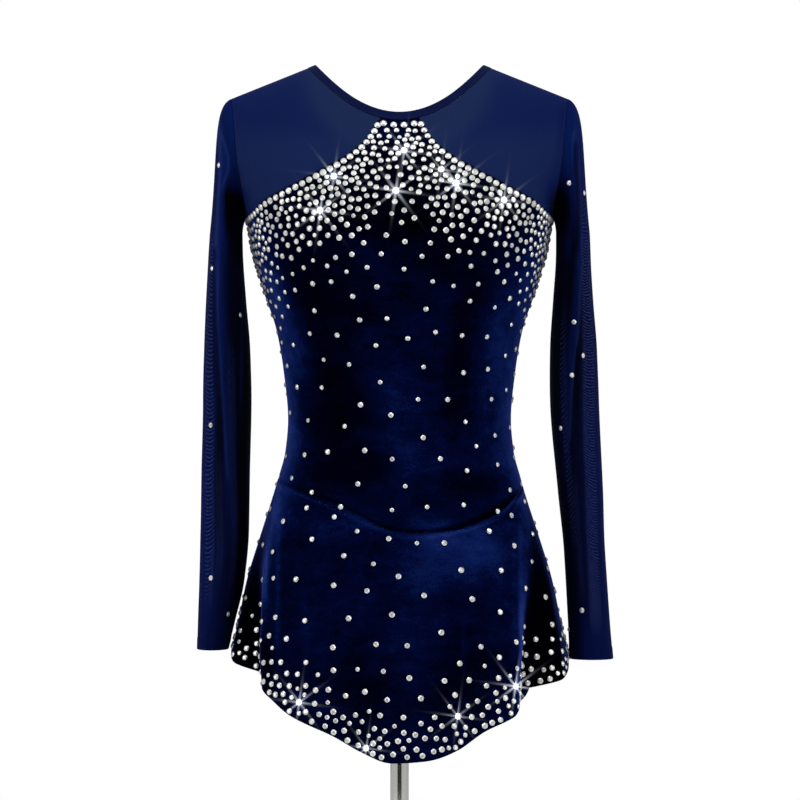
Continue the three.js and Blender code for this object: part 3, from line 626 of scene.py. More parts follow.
def netFoldShading(point):
    # painted highlights and shade: spots as on the velvet; a line is a Gaussian of the distance in x from its
    # course, fading at its ends
    x, z = point[..., 0], point[..., 2]
    fade = 0.004
    total = np.zeros(x.shape)
    for spotX, spotZ, wide, high, amount in zip(*netShadeSpots.values()):
        total += amount * np.exp(-(((x - spotX) / wide) ** 2) - ((z - spotZ) / high) ** 2)
    for line in netShadeLines:
        low, high = line["z"][0], line["z"][-1]
        course = curveThrough(np.array(line["z"]), np.array(line["x"]))(np.clip(z, low, high))
        ends = ease(low - fade, low + fade, z) * (1 - ease(high - fade, high + fade, z))
        total += line["amount"] * ends * np.exp(-(((x - course) / line["wide"]) ** 2))
    return total * (point[..., 1] < 0)


def yokeShade(point):
    # paler where the net faces the light, towards the middle of the body and beside the neck
    x, z = np.abs(point[..., 0]), point[..., 2]
    facing = np.maximum(0.40 * (1 - ease(0.920, 0.975, z)), 0.22 * np.clip((0.17 - x) / 0.10, 0, 1))
    besideNeck = 1 - ease(0.085, 0.112, np.hypot(x, z - 1.02))
    return 0.08 + facing + 0.5 * besideNeck + netFoldShading(point)


def areaOf(surface):
    # the sum of the grid's parallelograms
    u, v = np.meshgrid(np.linspace(0, 1, 60), np.linspace(0, 1, 60))
    face = surface(u, v)
    cross = np.cross(np.diff(face, axis=1)[:-1], np.diff(face, axis=0)[:, :-1])
    return float(np.linalg.norm(cross, axis=-1).sum())


# creases of the stretched velvet: ridges from one place to another
creaseTable = table("fromAngle fromZ toAngle toZ depth width", [
    (-34, 0.612, -6, 0.592, 0.0011, 0.007),
    (-30, 0.640, -12, 0.625, 0.0007, 0.006),
    (20, 0.596, 62, 0.618, 0.0012, 0.007),
    (30, 0.612, 70, 0.640, 0.0009, 0.008),
    (38, 0.640, 78, 0.668, 0.0007, 0.008),
    (-78, 0.650, -40, 0.632, 0.0008, 0.008),
    (-70, 0.672, -36, 0.662, 0.0005, 0.007),
    (100, 0.640, 140, 0.622, 0.0009, 0.008),
    (120, 0.665, 165, 0.650, 0.0008, 0.008),
    (195, 0.652, 238, 0.668, 0.0009, 0.008),
    (205, 0.622, 255, 0.640, 0.0009, 0.008),
])


def creaseDepth(angle, z):
    # each crease is a ridge along a line, fading towards both ends: a Gaussian of the distance from it
    reach = 0.0022  # metres of cloth for each degree round the waist
    total = np.zeros(np.broadcast(angle, z).shape)
    for a0, z0, a1, z1, depth, width in zip(*creaseTable.values()):
        dx, dz = (a1 - a0) * reach, z1 - z0
        px, pz = angleApart(angle, a0) * reach, z - z0
        length = dx * dx + dz * dz
        t = np.clip((px * dx + pz * dz) / length, 0, 1)
        away = (px - t * dx) ** 2 + (pz - t * dz) ** 2
        total += depth * np.sin(np.pi * np.clip(t, 0.02, 0.98)) * np.exp(-away / width**2)
    return total


def outwards(angle):
    # level, away from the middle
    return stack(np.sin(np.radians(angle)), -np.cos(np.radians(angle)), 0 * angle)


topLap = 0.0016  # how far the bodice's top edge laps up over the yoke


# the panels; u and v run from 0 to 1

def bodiceFrontFace(u, v):
    # a ring of the body at each height, between the waist seam and the slanting top edge
    angle = mix(-sideSeam, sideSeam, u)
    slanted = bodiceTop(np.abs(angle))
    x = torso["half"](slanted) * np.sin(np.radians(angle))
    band = bandEdge(x, -1)
    fromPoint = ease(bodicePointAngle, bodicePointAngle + 0.5, np.abs(angle))
    top = np.where(np.abs(angle) < bodicePointAngle, band, np.minimum(slanted, band)) - curvedSeamGap
    top = top + topLap * ease(90, 84, np.abs(angle)) * fromPoint
    z = mix(waistSeam(angle) + waistGap, top, v)
    return torsoRing(angle, z) + outwards(angle) * creaseDepth(angle, z)[..., None]


def bodiceBackFace(u, v):
    # the same, up to the back's own top edge
    angle = mix(180 - sideSeam, 180 + sideSeam, u)
    lap = topLap * ease(90, 84, np.abs(angle - 180))
    top = backTop(np.where(angle <= 180, angle, 360 - angle)) - curvedSeamGap + lap
    z = mix(waistSeam(angle) + waistGap, top, v)
    return torsoRing(angle, z) + outwards(angle) * creaseDepth(angle, z)[..., None]


def spanned(bottom, top, start, end, u, v):
    # a Coons patch: the two blends between facing edges, less the blend of the corners
    zero, one = np.zeros(1), np.ones(1)
    made = []
    for k in (0, 1):
        corners = [edge(t)[k] for edge in (bottom, top) for t in (zero, one)]
        flat = mix(mix(corners[0], corners[1], u), mix(corners[2], corners[3], u), v)
        made.append(mix(bottom(u)[k], top(u)[k], v) + mix(start(v)[k], end(v)[k], u) - flat)
    return made


yokeFootRise = armpitRise + 0.0019


def armholeEdge(v):
    # (x, rise) of the yoke's edge at the armhole, from its foot up to the shoulder seam
    rise = mix(yokeFootRise, shoulderSeamRise, v)
    return armholeSeam(rise) - curvedSeamGap / 2, rise


yokeFoot = [float(k) for k in armholeEdge(0.0)]
yokeShoulderX = float(armholeEdge(1.0)[0])


def yokeFrontFace(u, v):
    # a Coons patch between the bodice's slanted edge, the neck band, the shoulder seam and the armhole
    pointSine = math.sin(math.radians(bodicePointAngle))
    pointX = float(torso["half"](bodiceTop(bodicePointAngle))) * pointSine + curvedSeamGap

    def neckSide(t):
        return yokeNeckEdge(mix(pointX, yokeNeckX, finer(t)), -1)

    def slantedSide(t):
        angle = mix(bodicePointAngle, 90, t)
        z = bodiceTop(angle) + curvedSeamGap
        x = torso["half"](z) * np.sin(np.radians(angle))
        startShare, endShare = 1 - ease(0, 0.08, t), ease(0.88, 1, t)
        edges = zip((x, riseAt(x, z)), neckSide(np.zeros(1)), yokeFoot)
        return [mix(mix(plain, first, startShare), last, endShare) for plain, first, last in edges]

    def shoulderSide(t):
        return mix(yokeNeckX, yokeShoulderX, t), shoulderSeamRise + 0 * t

    x, rise = spanned(slantedSide, shoulderSide, neckSide, armholeEdge, u, v)
    return torsoPoint(x, rise, -1)


def mirrored(surface):
    # x turned to -x
    return lambda u, v: surface(u, v) * np.array([-1, 1, 1])


def yokeBackFace(u, v):
    # straight blends from the bodice's edge up to the neck and shoulders, out to the armholes at the ends
    neckShare = 0.55
    signed = 2 * u - 1
    away = np.abs(signed)
    lowX = yokeFoot[0] * away
    angle = np.full_like(lowX, 135.0)
    for _ in range(12):
        angle = 180 - np.degrees(np.arcsin(np.clip(lowX / torso["half"](backTop(angle)), 0, 1)))
    lowRise = mix(riseAt(lowX, backTop(angle) + curvedSeamGap), yokeFoot[1], ease(0.94, 1, away))
    underX, underRise = yokeNeckEdge(yokeNeckX * finer(np.clip(away / neckShare, 0, 1)), 1)
    beyondX = mix(yokeNeckX, yokeShoulderX, (away - neckShare) / (1 - neckShare))
    highX = np.where(away < neckShare, underX, beyondX)
    highRise = np.where(away < neckShare, underRise, shoulderSeamRise)
    edgeX, edgeRise = armholeEdge(v)
    x = mix(lowX, highX, v) + away**3 * (edgeX - mix(yokeFoot[0], yokeShoulderX, v))
    rise = mix(lowRise, highRise, v) + away**3 * (edgeRise - mix(yokeFoot[1], shoulderSeamRise, v))
    return torsoPoint(np.sign(signed) * x, rise, 1)


def neckBandFace(u, v):
    # once round the neck; v goes from the neck edge outwards
    turn = (u % 1) * 4
    front = turn < 2
    across = finer(np.where(front, turn - 1, 3 - turn))
    half = mix(neck["half"], neck["bandHalf"], v)
    x = half * across
    heights = [neckHeight(x, half, neck[low] - neck["band"] * v) for low in ("frontLow", "backLow")]
    faces = [torsoPoint(x, riseAt(x, z), side) for z, side in zip(heights, (-1, 1))]
    return np.where(front[..., None], faces[0], faces[1])


def sleeveSection(side, around, z, v):
    # an ellipse at each height, less the folds, each a trough in the angle that fades in and out along v
    sizes = sleeveSizes[side]
    inward = np.zeros(np.broadcast(around, z, v).shape)
    for angle, depth, width, start, end in zip(*sleeveFolds.values()):
        share = ease(start, start + 0.2, v) * (1 - ease(end - 0.15, end, v))
        inward += depth * share * trough(angleApart(np.degrees(around), angle), width * 1.6)
    width = sizes["half"](z) - inward * 0.55 * np.abs(np.cos(around))
    reach = sizes["depth"](z) - inward * np.abs(np.sin(around))
    return stack(sizes["middle"](z) - width * np.cos(around), -reach * np.sin(around), z)


def sleeveFace(side):
    # u goes round from the underarm over the front, v from the armhole to the cuff; the head is a Bezier from
    # the armhole seam to the first level ring, and below it are rings of the hanging sleeve
    headShare, foot = sleeveHead["share"], sleeveHead["foot"]

    def face(u, v):
        around = (u % 1) * 2 * np.pi
        z = mix(foot, cuffHeight[side], np.clip((v - headShare) / (1 - headShare), 0, 1))
        below = sleeveSection(side, around, z, np.maximum(v, headShare))
        t = np.clip(v / headShare, 0, 1)[..., None]
        outside = (1 - np.cos(around)) / 2
        rise = mix(armpitRise, topRise, outside)
        x = armholeSeam(rise)
        seam = np.where((np.sin(around) >= 0)[..., None], torsoPoint(x, rise, -1), torsoPoint(x, rise, 1))
        seam = seam + np.array([curvedSeamGap / 2, 0, 0])
        to = sleeveSection(side, around, foot + 0 * around, headShare + 0 * around)
        reach = mix(sleeveHead["underarmReach"], sleeveHead["shoulderReach"], outside)
        leaving = seam + stack(reach, 0 * reach, -ridge["slope"] * reach)
        drop = mix(sleeveHead["underarmDrop"], sleeveHead["shoulderDrop"], outside)
        arriving = to + stack(-sleeveHead["shoulderIn"] * outside**2, 0 * drop, drop)
        head = (1 - t) ** 3 * seam + 3 * (1 - t) ** 2 * t * leaving
        head = head + 3 * (1 - t) * t * t * arriving + t**3 * to
        made = np.where((v < headShare)[..., None], head, below)
        return made * np.array([1 if side == "right" else -1, 1, 1])

    return face


def skirtPoint(angle, v):
    # a superellipse ring at each height, joined to the bodice's at the seam; v is 0 there and 1 at the hem,
    # and the folds, troughs in the angle, grow towards the hem
    top = waistSeam(angle) - waistGap
    z = mix(top, hemLine(angle), v)
    inward = np.zeros(np.broadcast(angle, v).shape)
    for foldAngle, depth, width, start, lean, bow in zip(*skirtFolds.values()):
        share = ease(start, 1.15, v) / ease(start, 1.15, 1.0)
        middle = foldAngle + lean * (1 - v) + bow * 4 * v * (1 - v)
        inward += depth * share * trough(angleApart(angle, middle), width * 1.5)
    point = ringPoint(skirtBody, 2.2, angle, z)
    join = torsoRing(angle, top) - ringPoint(skirtBody, 2.2, angle, top)
    point = point + join * (1 - ease(0, 0.5, v))[..., None]
    out = stack(np.sin(np.radians(angle)), -np.cos(np.radians(angle)) * 1.05, 0 * angle)
    out = out / np.linalg.norm(out, axis=-1, keepdims=True)
    return point - out * inward[..., None]


def skirtFace(start, end):
    return lambda u, v: skirtPoint(mix(start, end, u), 1 - v)


def briefsFace(start, end):
    # the body's rings, a little inside the bodice, from the leg line up to the waist seam
    def face(u, v):
        angle = mix(start, end, u)
        folded = np.where(angle <= 180, np.abs(angle), 360 - angle)
        top = waistSeam(angle) - seamGap - briefsDrop
        return torsoRing(angle, mix(legLine(folded), top, v), briefsInset)

    return face


def gussetFace(u, v):
    # an arch from the briefs' front to their back that leans aside past the pole
    edge = float(legLine(0)) - gusset["below"]
    front, back = -(float(torso["front"](edge)) - briefsInset), float(torso["back"](edge)) - briefsInset
    arch = np.sin(v * np.pi)
    half = mix(gusset["halfEnd"], gusset["halfMiddle"], arch)
    x = gusset["aside"] * arch**2 + half * (2 * u - 1)
    y = mix(front, back, mix(0.5 - 0.5 * np.cos(v * np.pi), v, 0.25))
    return stack(x, y, edge - gusset["drop"] * np.sqrt(np.clip(arch, 0, 1)))


# cloth materials

def velvetMaterial():
    # colour from the pile's lie: soft crush noise, short streaks and a speckle of fibres on the painted
    # attribute, which holds the pile's tone and painted light and shade; and a painted sheen where the cloth
    # is seen at a slant
    s = {
        "stops": [
            (0.22, (0.00003, 0.00006, 0.0005)), (0.42, (0.00008, 0.0004, 0.0050)),
            (0.58, (0.00040, 0.0019, 0.0205)), (0.76, (0.0024, 0.0082, 0.0640)),
            (1.0, (0.0115, 0.0230, 0.1300)),
        ],
        "shares": {"toneAndShade": 0.18, "crush": 0.37, "streak": 0.32, "pile": 0.30, "edge": 0.30},
        "crush": 19.0, "streak": 105.0, "pile": 620.0,
        "streakStretch": (0.35, 1.0, 1.0), "streakTurn": (0.0, 0.35, 0.0),
        "edge": (0.18, 0.80), "pileHeight": 0.10, "bump": 0.45, "bumpDepth": 0.0016,
        "sheen": 0.36, "sheenRoughness": 0.30, "sheenTint": (0.12, 0.20, 0.90, 1),
    }

    def build(nodes):
        place = objectPlace(nodes)
        stretched = addNode(nodes, "ShaderNodeMapping", Vector=place, Scale=s["streakStretch"],
                            Rotation=s["streakTurn"])
        slant = addNode(nodes, "ShaderNodeLayerWeight", Blend=0.5)
        masks = {
            "toneAndShade": addNode(nodes, "ShaderNodeAttribute", attribute_name="toneAndShade").outputs["Fac"],
            "crush": noise(nodes, place, s["crush"], 4.0, 0.55, 0.5),
            "streak": noise(nodes, stretched.outputs["Vector"], s["streak"], 4.0, 0.65, 0.4),
            "pile": noise(nodes, place, s["pile"], 2.0, 0.7),
            # painted sheen: lighter where the cloth is seen at a slant, towards its outlines
            "edge": ranged(nodes, slant.outputs["Facing"], *s["edge"], kind="SMOOTHSTEP"),
        }
        lie = 0.0
        for name, share in s["shares"].items():
            lie = calc(nodes, "MULTIPLY_ADD", masks[name], share, lie)
        height = calc(nodes, "MULTIPLY_ADD", masks["pile"], s["pileHeight"], masks["streak"])
        bump = addNode(nodes, "ShaderNodeBump", Strength=s["bump"], Distance=s["bumpDepth"], Height=height)
        return dict(Base_Color=colorRamp(nodes, lie, s["stops"]), Normal=bump.outputs["Normal"],
                    Roughness=1.0, Specular_IOR_Level=0.0, Sheen_Weight=s["sheen"],
                    Sheen_Roughness=s["sheenRoughness"], Sheen_Tint=s["sheenTint"])

    return newMaterial("velvet", build)


def netWeaveGroup():
    # crossing threads of a fine net in the piece's own UV: two sets of waves at 60 degrees, the larger wins
    starts = {"Spacing": 0.0009, "Open": 0.6, "Full": 0.9}
    group, given, out = shaderGroup("netWeave", starts, ["Alpha", "Thread"])
    nodes, slope = group.nodes, 0.577
    x, y = splitXY(nodes, clothPlace(nodes))
    waves = []
    for lean in (slope, -slope):
        count = calc(nodes, "DIVIDE", calc(nodes, "MULTIPLY_ADD", y, lean, x), given["Spacing"])
        waves.append(calc(nodes, "SINE", calc(nodes, "MULTIPLY", count, 2 * math.pi)))
    thread = ranged(nodes, calc(nodes, "MAXIMUM", *waves), -0.2, 0.7)
    feed(out["Alpha"], ranged(nodes, thread, 0.0, 1.0, given["Open"], given["Full"]))
    feed(out["Thread"], thread)
    return group


def netRippleGroup():
    # bands across the cloth where two layers of net cross, broken into dashes: the phase of their wave is
    # (y + lean x + bend (x - middle)^2 + wander) / period
    s = {"wander": 0.009, "wanderScale": 28.0, "dashScale": 210.0, "dash": (0.36, 0.58), "leastDash": 0.30}
    given = {"Period": 0.004, "Lean": 0.0, "Bend": 0.0, "Middle": 0.0}
    group, given, out = shaderGroup("netRipple", given, ["Ripple"])
    nodes = group.nodes
    place = clothPlace(nodes)
    x, y = splitXY(nodes, place)
    leaned = calc(nodes, "MULTIPLY_ADD", x, given["Lean"], y)
    away = calc(nodes, "SUBTRACT", x, given["Middle"])
    bent = calc(nodes, "MULTIPLY_ADD", calc(nodes, "MULTIPLY", away, away), given["Bend"], leaned)
    phase = calc(nodes, "MULTIPLY_ADD", noise(nodes, place, s["wanderScale"], 2.0), s["wander"], bent)
    turns = calc(nodes, "DIVIDE", phase, given["Period"])
    wave = calc(nodes, "SINE", calc(nodes, "MULTIPLY", turns, 2 * math.pi))
    crest = ranged(nodes, wave, 0.1, 1.0, kind="SMOOTHSTEP")
    dash = ranged(nodes, noise(nodes, place, s["dashScale"], 1.0), *s["dash"], s["leastDash"], 1.0)
    feed(out["Ripple"], calc(nodes, "MULTIPLY", crest, dash))
    return group


netWeave, netRipple = netWeaveGroup(), netRippleGroup()


def between(nodes, value, stops):
    # 1 between the middle two stops, easing to 0 at the outer two
    rise = ranged(nodes, value, *stops[:2], kind="SMOOTHSTEP")
    return calc(nodes, "MULTIPLY", rise, ranged(nodes, value, *stops[2:], 1.0, 0.0, "SMOOTHSTEP"))


def blended(nodes, color, share, other):
    blend = addNode(nodes, "ShaderNodeMix", data_type="RGBA", blend_type="MIX", Factor=share)
    feed(blend.inputs[6], color)
    feed(blend.inputs[7], (*other, 1) if isinstance(other, tuple) else other)
    return blend.outputs[2]


# tones of the layered net in a sleeve, from 0 to 5, which paint the light and shade of its folds and layers,
# and of the ripples where its layers cross
netTones = [(0.0001, 0.0002, 0.0015), (0.0003, 0.0009, 0.0085), (0.0007, 0.0020, 0.0190),
            (0.0010, 0.0033, 0.0330), (0.0012, 0.0052, 0.0560), (0.0045, 0.0120, 0.0900)]
# the ripples' lilac and steel, and the black of the painted shade in the net's folds
lilac, steel, foldShadeBlack = (0.024, 0.033, 0.122), (0.013, 0.019, 0.068), (0.0001, 0.0002, 0.0010)


def netTone(tone):
    return tuple(float(np.interp(tone, range(len(netTones)), channel)) for channel in zip(*netTones))


def shadedLayeredNet(nodes, color, s):
    # painted light and shade of the sleeve's folds and layers: strips of other tones along a sleeve, each
    # level blending into the next one down, then the ripples
    place = clothPlace(nodes)
    x, y = splitXY(nodes, place)
    wander = calc(nodes, "SUBTRACT", noise(nodes, place, s["wanderScale"], 1.0), 0.5)
    around = calc(nodes, "MULTIPLY_ADD", wander, s["wander"], calc(nodes, "DIVIDE", x, s["flat"][0]))
    above = s["stripsFrom"]
    for level, tones in s["levels"]:
        strips = colorRamp(nodes, around, [(at, netTone(tone)) for at, tone in [*tones, *s["backStrips"]]])
        color = blended(nodes, color, ranged(nodes, y, above, level), strips)
        above = level
    for r in [*s["ripples"], s["backRipple"]]:
        r = dict(zip("period lean bend middle around slide along amount color".split(), r))
        ripple = addNode(nodes, "ShaderNodeGroup", node_tree=netRipple, Period=r["period"], Lean=r["lean"],
                         Bend=r["bend"], Middle=r["middle"] * s["flat"][0])
        across = between(nodes, calc(nodes, "MULTIPLY_ADD", y, r["slide"], around), r["around"])
        amount = calc(nodes, "MULTIPLY", ripple.outputs["Ripple"], across)
        for factor in (between(nodes, y, r["along"]), r["amount"]):
            amount = calc(nodes, "MULTIPLY", amount, factor)
        color = blended(nodes, color, amount, r["color"])
    return color


def netMaterial(name, s):
    # sheer stretch net: navy threads, nearly closed; the painted shade of its folds goes towards black, their
    # painted highlights towards the pale tone
    def build(nodes):
        weave = addNode(nodes, "ShaderNodeGroup", node_tree=netWeave, Spacing=s["spacing"], Open=s["open"],
                        Full=s["full"]).outputs
        tone = noise(nodes, objectPlace(nodes), s["tone"], 3.0)
        color = colorRamp(nodes, tone, [(0.3, s["dark"]), (0.7, s["light"])])
        if "levels" in s:
            color = shadedLayeredNet(nodes, color, s)
        # painted shade towards black and painted highlights towards the pale tone, by the painted attribute
        foldShading = addNode(nodes, "ShaderNodeAttribute", attribute_name="toneAndShade").outputs["Fac"]
        for end, other in ((-1.0, foldShadeBlack), (1.0, s["pale"])):
            color = blended(nodes, color, ranged(nodes, foldShading, 0.0, end), other)
        bump = addNode(nodes, "ShaderNodeBump", Strength=0.25, Distance=0.0002, Height=weave["Thread"])
        return dict(Normal=bump.outputs["Normal"], Base_Color=color, Alpha=weave["Alpha"], Roughness=0.8,
                    Specular_IOR_Level=s["gloss"], Sheen_Weight=s["sheen"], Sheen_Roughness=0.4,
                    Sheen_Tint=(0.12, 0.22, 0.85, 1))

    return newMaterial(name, build)


yokeSettings = {
    "dark": (0.0009, 0.0056, 0.050), "light": (0.0014, 0.0074, 0.060),
    "tone": 9.0, "pale": (0.0090, 0.0180, 0.0600),
    "spacing": 0.0009, "open": 0.90, "full": 0.98, "sheen": 0.04, "gloss": 0.03,
}
bandSettings = {
    "dark": (0.0012, 0.0034, 0.026), "light": (0.0022, 0.0056, 0.040),
    "tone": 30.0, "pale": (0.0090, 0.0180, 0.0600),
    "spacing": 0.0009, "open": 0.95, "full": 1.0, "sheen": 0.06, "gloss": 0.04,
}
# on both sleeves: backStrips, painted light and shade, go from the outside round the back to the underarm
sleeveSettings = {
    "dark": (0.0009, 0.0056, 0.050), "light": (0.0013, 0.0068, 0.057),
    "tone": 12.0, "pale": (0.0110, 0.0220, 0.100),
    "spacing": 0.0009, "open": 0.98, "full": 1.0, "sheen": 0.02, "gloss": 0.012, "flat": (0.35, 0.59),
    "wander": 0.03, "wanderScale": 6.0, "stripsFrom": 0.045,
    "backStrips": [(0.60, 3), (0.72, 2), (0.76, 4), (0.86, 1), (0.92, 0)],
    "backRipple": (0.0044, 0.2, 4.0, 0.68, (0.60, 0.64, 0.72, 0.75), 0.0, (0.14, 0.22, 0.50, 0.56), 0.6,
                   lilac),
}
# each level: metres down the sleeve, then (share of the way round from the underarm, tone) over the front;
# the tones are painted light and shade of the folds
leftShadeLevels = [
    (0.112, [(0.20, 0), (0.235, 0.6), (0.26, 4), (0.32, 4), (0.34, 4.4), (0.36, 3), (0.45, 3)]),
    (0.153, [(0.12, 0), (0.17, 0.6), (0.20, 1.3), (0.24, 2.6), (0.275, 3.3), (0.30, 4), (0.33, 4.7),
             (0.35, 3), (0.45, 2.8)]),
    (0.193, [(0.06, 0), (0.075, 1.5), (0.09, 0), (0.12, 0.8), (0.20, 1), (0.235, 1.6), (0.265, 2.6),
             (0.29, 3.6), (0.305, 5), (0.325, 2.8), (0.36, 2.4), (0.45, 3)]),
    (0.247, [(0.08, 0), (0.105, 1.1), (0.13, 0.1), (0.18, 0.5), (0.215, 1), (0.245, 2.3), (0.272, 3.3),
             (0.30, 2.4), (0.35, 2.2), (0.45, 2.8)]),
    (0.279, [(0.09, 0), (0.12, 1.2), (0.15, 0.6), (0.19, 1), (0.225, 1.4), (0.25, 2.3), (0.272, 3.7),
             (0.288, 2.6), (0.305, 1.6), (0.34, 2), (0.37, 3), (0.45, 3)]),
    (0.321, [(0.10, 0), (0.13, 1.1), (0.16, 0.4), (0.19, 1), (0.22, 1.7), (0.245, 3.2), (0.265, 1.8),
             (0.285, 1), (0.305, 1), (0.325, 2.8), (0.37, 3.2), (0.45, 3.2)]),
    (0.365, [(0.13, 0), (0.165, 0.8), (0.19, 1.2), (0.215, 2.8), (0.24, 3.4), (0.26, 1), (0.29, 0.2),
             (0.31, 1.5), (0.335, 3), (0.45, 3.2)]),
    (0.408, [(0.14, 0.2), (0.18, 1.7), (0.21, 3), (0.235, 2.5), (0.262, 1.1), (0.29, 0.2), (0.315, 2),
             (0.345, 3.3), (0.45, 3.6)]),
    (0.450, [(0.12, 0), (0.145, 1), (0.175, 2.7), (0.205, 2.6), (0.235, 2.1), (0.26, 1.5), (0.285, 0.9),
             (0.31, 2.2), (0.345, 3), (0.45, 3.6)]),
    (0.490, [(0.13, 0), (0.16, 1.4), (0.19, 1.9), (0.275, 2.1), (0.305, 2.6), (0.36, 3.4), (0.45, 3.5)]),
    (0.536, [(0.10, 0), (0.15, 1.2), (0.185, 1.9), (0.245, 1.8), (0.275, 2.5), (0.31, 3.2), (0.45, 3.2)]),
    (0.572, [(0.10, 1.5), (0.16, 2.3), (0.29, 2.4), (0.33, 3), (0.45, 3.2)]),
]
rightShadeLevels = [
    (0.112, [(0.10, 0), (0.17, 1), (0.215, 3), (0.245, 2.6), (0.30, 2.4), (0.335, 5), (0.355, 4), (0.38, 3),
             (0.45, 2.8)]),
    (0.155, [(0.08, 0.6), (0.14, 1.8), (0.185, 3), (0.21, 2), (0.235, 0.3), (0.26, 1.4), (0.29, 2),
             (0.325, 4.6), (0.34, 2.2), (0.40, 2.4), (0.45, 3)]),
    (0.175, [(0.08, 0.8), (0.14, 1), (0.185, 0.8), (0.225, 0.2), (0.26, 1.6), (0.295, 3.4), (0.31, 2.6),
             (0.345, 2), (0.45, 2.8)]),
    (0.208, [(0.10, 0.3), (0.20, 0.2), (0.225, 0.8), (0.258, 2.2), (0.29, 3), (0.305, 1.5), (0.335, 1.6),
             (0.45, 2.6)]),
    (0.243, [(0.10, 0.3), (0.165, 0.8), (0.20, 1.2), (0.23, 2.7), (0.252, 3), (0.268, 1.8), (0.285, 1),
             (0.32, 1.5), (0.45, 2.6)]),
    (0.275, [(0.10, 0.2), (0.165, 1.5), (0.20, 2.4), (0.222, 3.4), (0.238, 1), (0.255, 0.3), (0.28, 0.7),
             (0.315, 1.8), (0.38, 2.4), (0.45, 3)]),
    (0.317, [(0.10, 0.2), (0.14, 1.4), (0.165, 2), (0.193, 3.2), (0.215, 1.3), (0.245, 0.4), (0.275, 1.2),
             (0.305, 2.4), (0.45, 3)]),
    (0.360, [(0.08, 0.4), (0.11, 1), (0.14, 2), (0.17, 2.8), (0.20, 1), (0.255, 1.1), (0.285, 2), (0.32, 2.6),
             (0.45, 3)]),
    (0.400, [(0.09, 0.4), (0.14, 2), (0.18, 1), (0.24, 1.2), (0.27, 1.8), (0.31, 2.6), (0.45, 3.1)]),
    (0.443, [(0.10, 0.2), (0.155, 0.9), (0.20, 1.5), (0.25, 1.7), (0.28, 2.4), (0.32, 2.8), (0.45, 3.2)]),
    (0.527, [(0.09, 0.3), (0.14, 0.9), (0.18, 1.7), (0.245, 1.8), (0.275, 2.4), (0.45, 2.9)]),
    (0.572, [(0.08, 0.6), (0.12, 1.7), (0.16, 2), (0.195, 2.9), (0.45, 3)]),
]
# each ripple: period, lean, bend, middle, stops round the sleeve, slide, stops down it, amount and colour
leftRipples = [
    (0.0044, 0.1, 16.0, 0.38, (0.390, 0.408, 0.462, 0.485), 0.19, (0.12, 0.18, 0.50, 0.56), 0.7, lilac),
    (0.0032, -0.45, 3.0, 0.20, (0.236, 0.250, 0.285, 0.30), 0.20, (0.24, 0.30, 0.50, 0.55), 0.6, steel),
    (0.0032, 0.5, 3.0, 0.27, (0.335, 0.350, 0.38, 0.395), 0.20, (0.36, 0.41, 0.49, 0.53), 0.6, steel),
]
rightRipples = [
    (0.0031, -0.1, 8.0, 0.345, (0.345, 0.368, 0.440, 0.466), 0.20, (0.09, 0.16, 0.54, 0.568), 0.75, lilac),
    (0.0052, 0.4, 12.0, 0.16, (0.128, 0.142, 0.178, 0.192), 0.0, (0.20, 0.25, 0.44, 0.50), 0.7, steel),
    (0.0031, 0.4, 3.0, 0.21, (0.178, 0.190, 0.215, 0.228), 0.0, (0.38, 0.42, 0.50, 0.54), 0.6, steel),
]
velvet = velvetMaterial()
yokeNet = netMaterial("yokeNet", yokeSettings)
leftNet = netMaterial("sleeveNetLeft", {**sleeveSettings, "levels": leftShadeLevels, "ripples": leftRipples})
rightNet = netMaterial("sleeveNetRight", {**sleeveSettings, "levels": rightShadeLevels, "ripples": rightRipples})
bandNet = netMaterial("bandNet", bandSettings)
print("cloth materials made")


# the cloth pieces

def seamEdges(length):
    # by length from each edge: the top lies a little proud, and the bottom rolls into the seam's groove
    def relief(u, v, face):
        down, up = (1 - v) * length, v * length
        side = 1 - ease(0.36, 0.47, np.abs(u - 0.5))
        proud = 0.0006 * (1 - ease(0.0012, 0.0045, down))
        return proud - 0.0013 * (1 - ease(0, 0.0048, up)) * mix(0.25, 1, side)

    return relief


def skirtEdges(u, v, face):
    # a ridge along the seam, where the skirt's edge is turned in, and a soft roll at the hem
    length = 0.21
    down, up = (1 - v) * length, v * length
    side = 1 - ease(0.36, 0.47, np.abs(u - 0.5))
    seam = 0.0008 * np.exp(-(((down - 0.0036) / 0.0026) ** 2)) - 0.0013 * (1 - ease(0, 0.0022, down))
    hem = 0.0004 * np.exp(-(((up - 0.0022) / 0.0018) ** 2)) - 0.0005 * (1 - ease(0, 0.0012, up))
    return seam * mix(0.25, 1, side) + hem


def cuffHem(u, v, face):
    # the cuff's turned hem: a little thicker, with a groove where it is stitched down
    length = 0.56
    up = (1 - v) * length
    stitched = -0.0004 * np.exp(-(((up - 0.0118) / 0.0007) ** 2))
    return 0.0004 * (1 - ease(0.0126, 0.0132, up)) + stitched - 0.0003 * (1 - ease(0, 0.001, up))


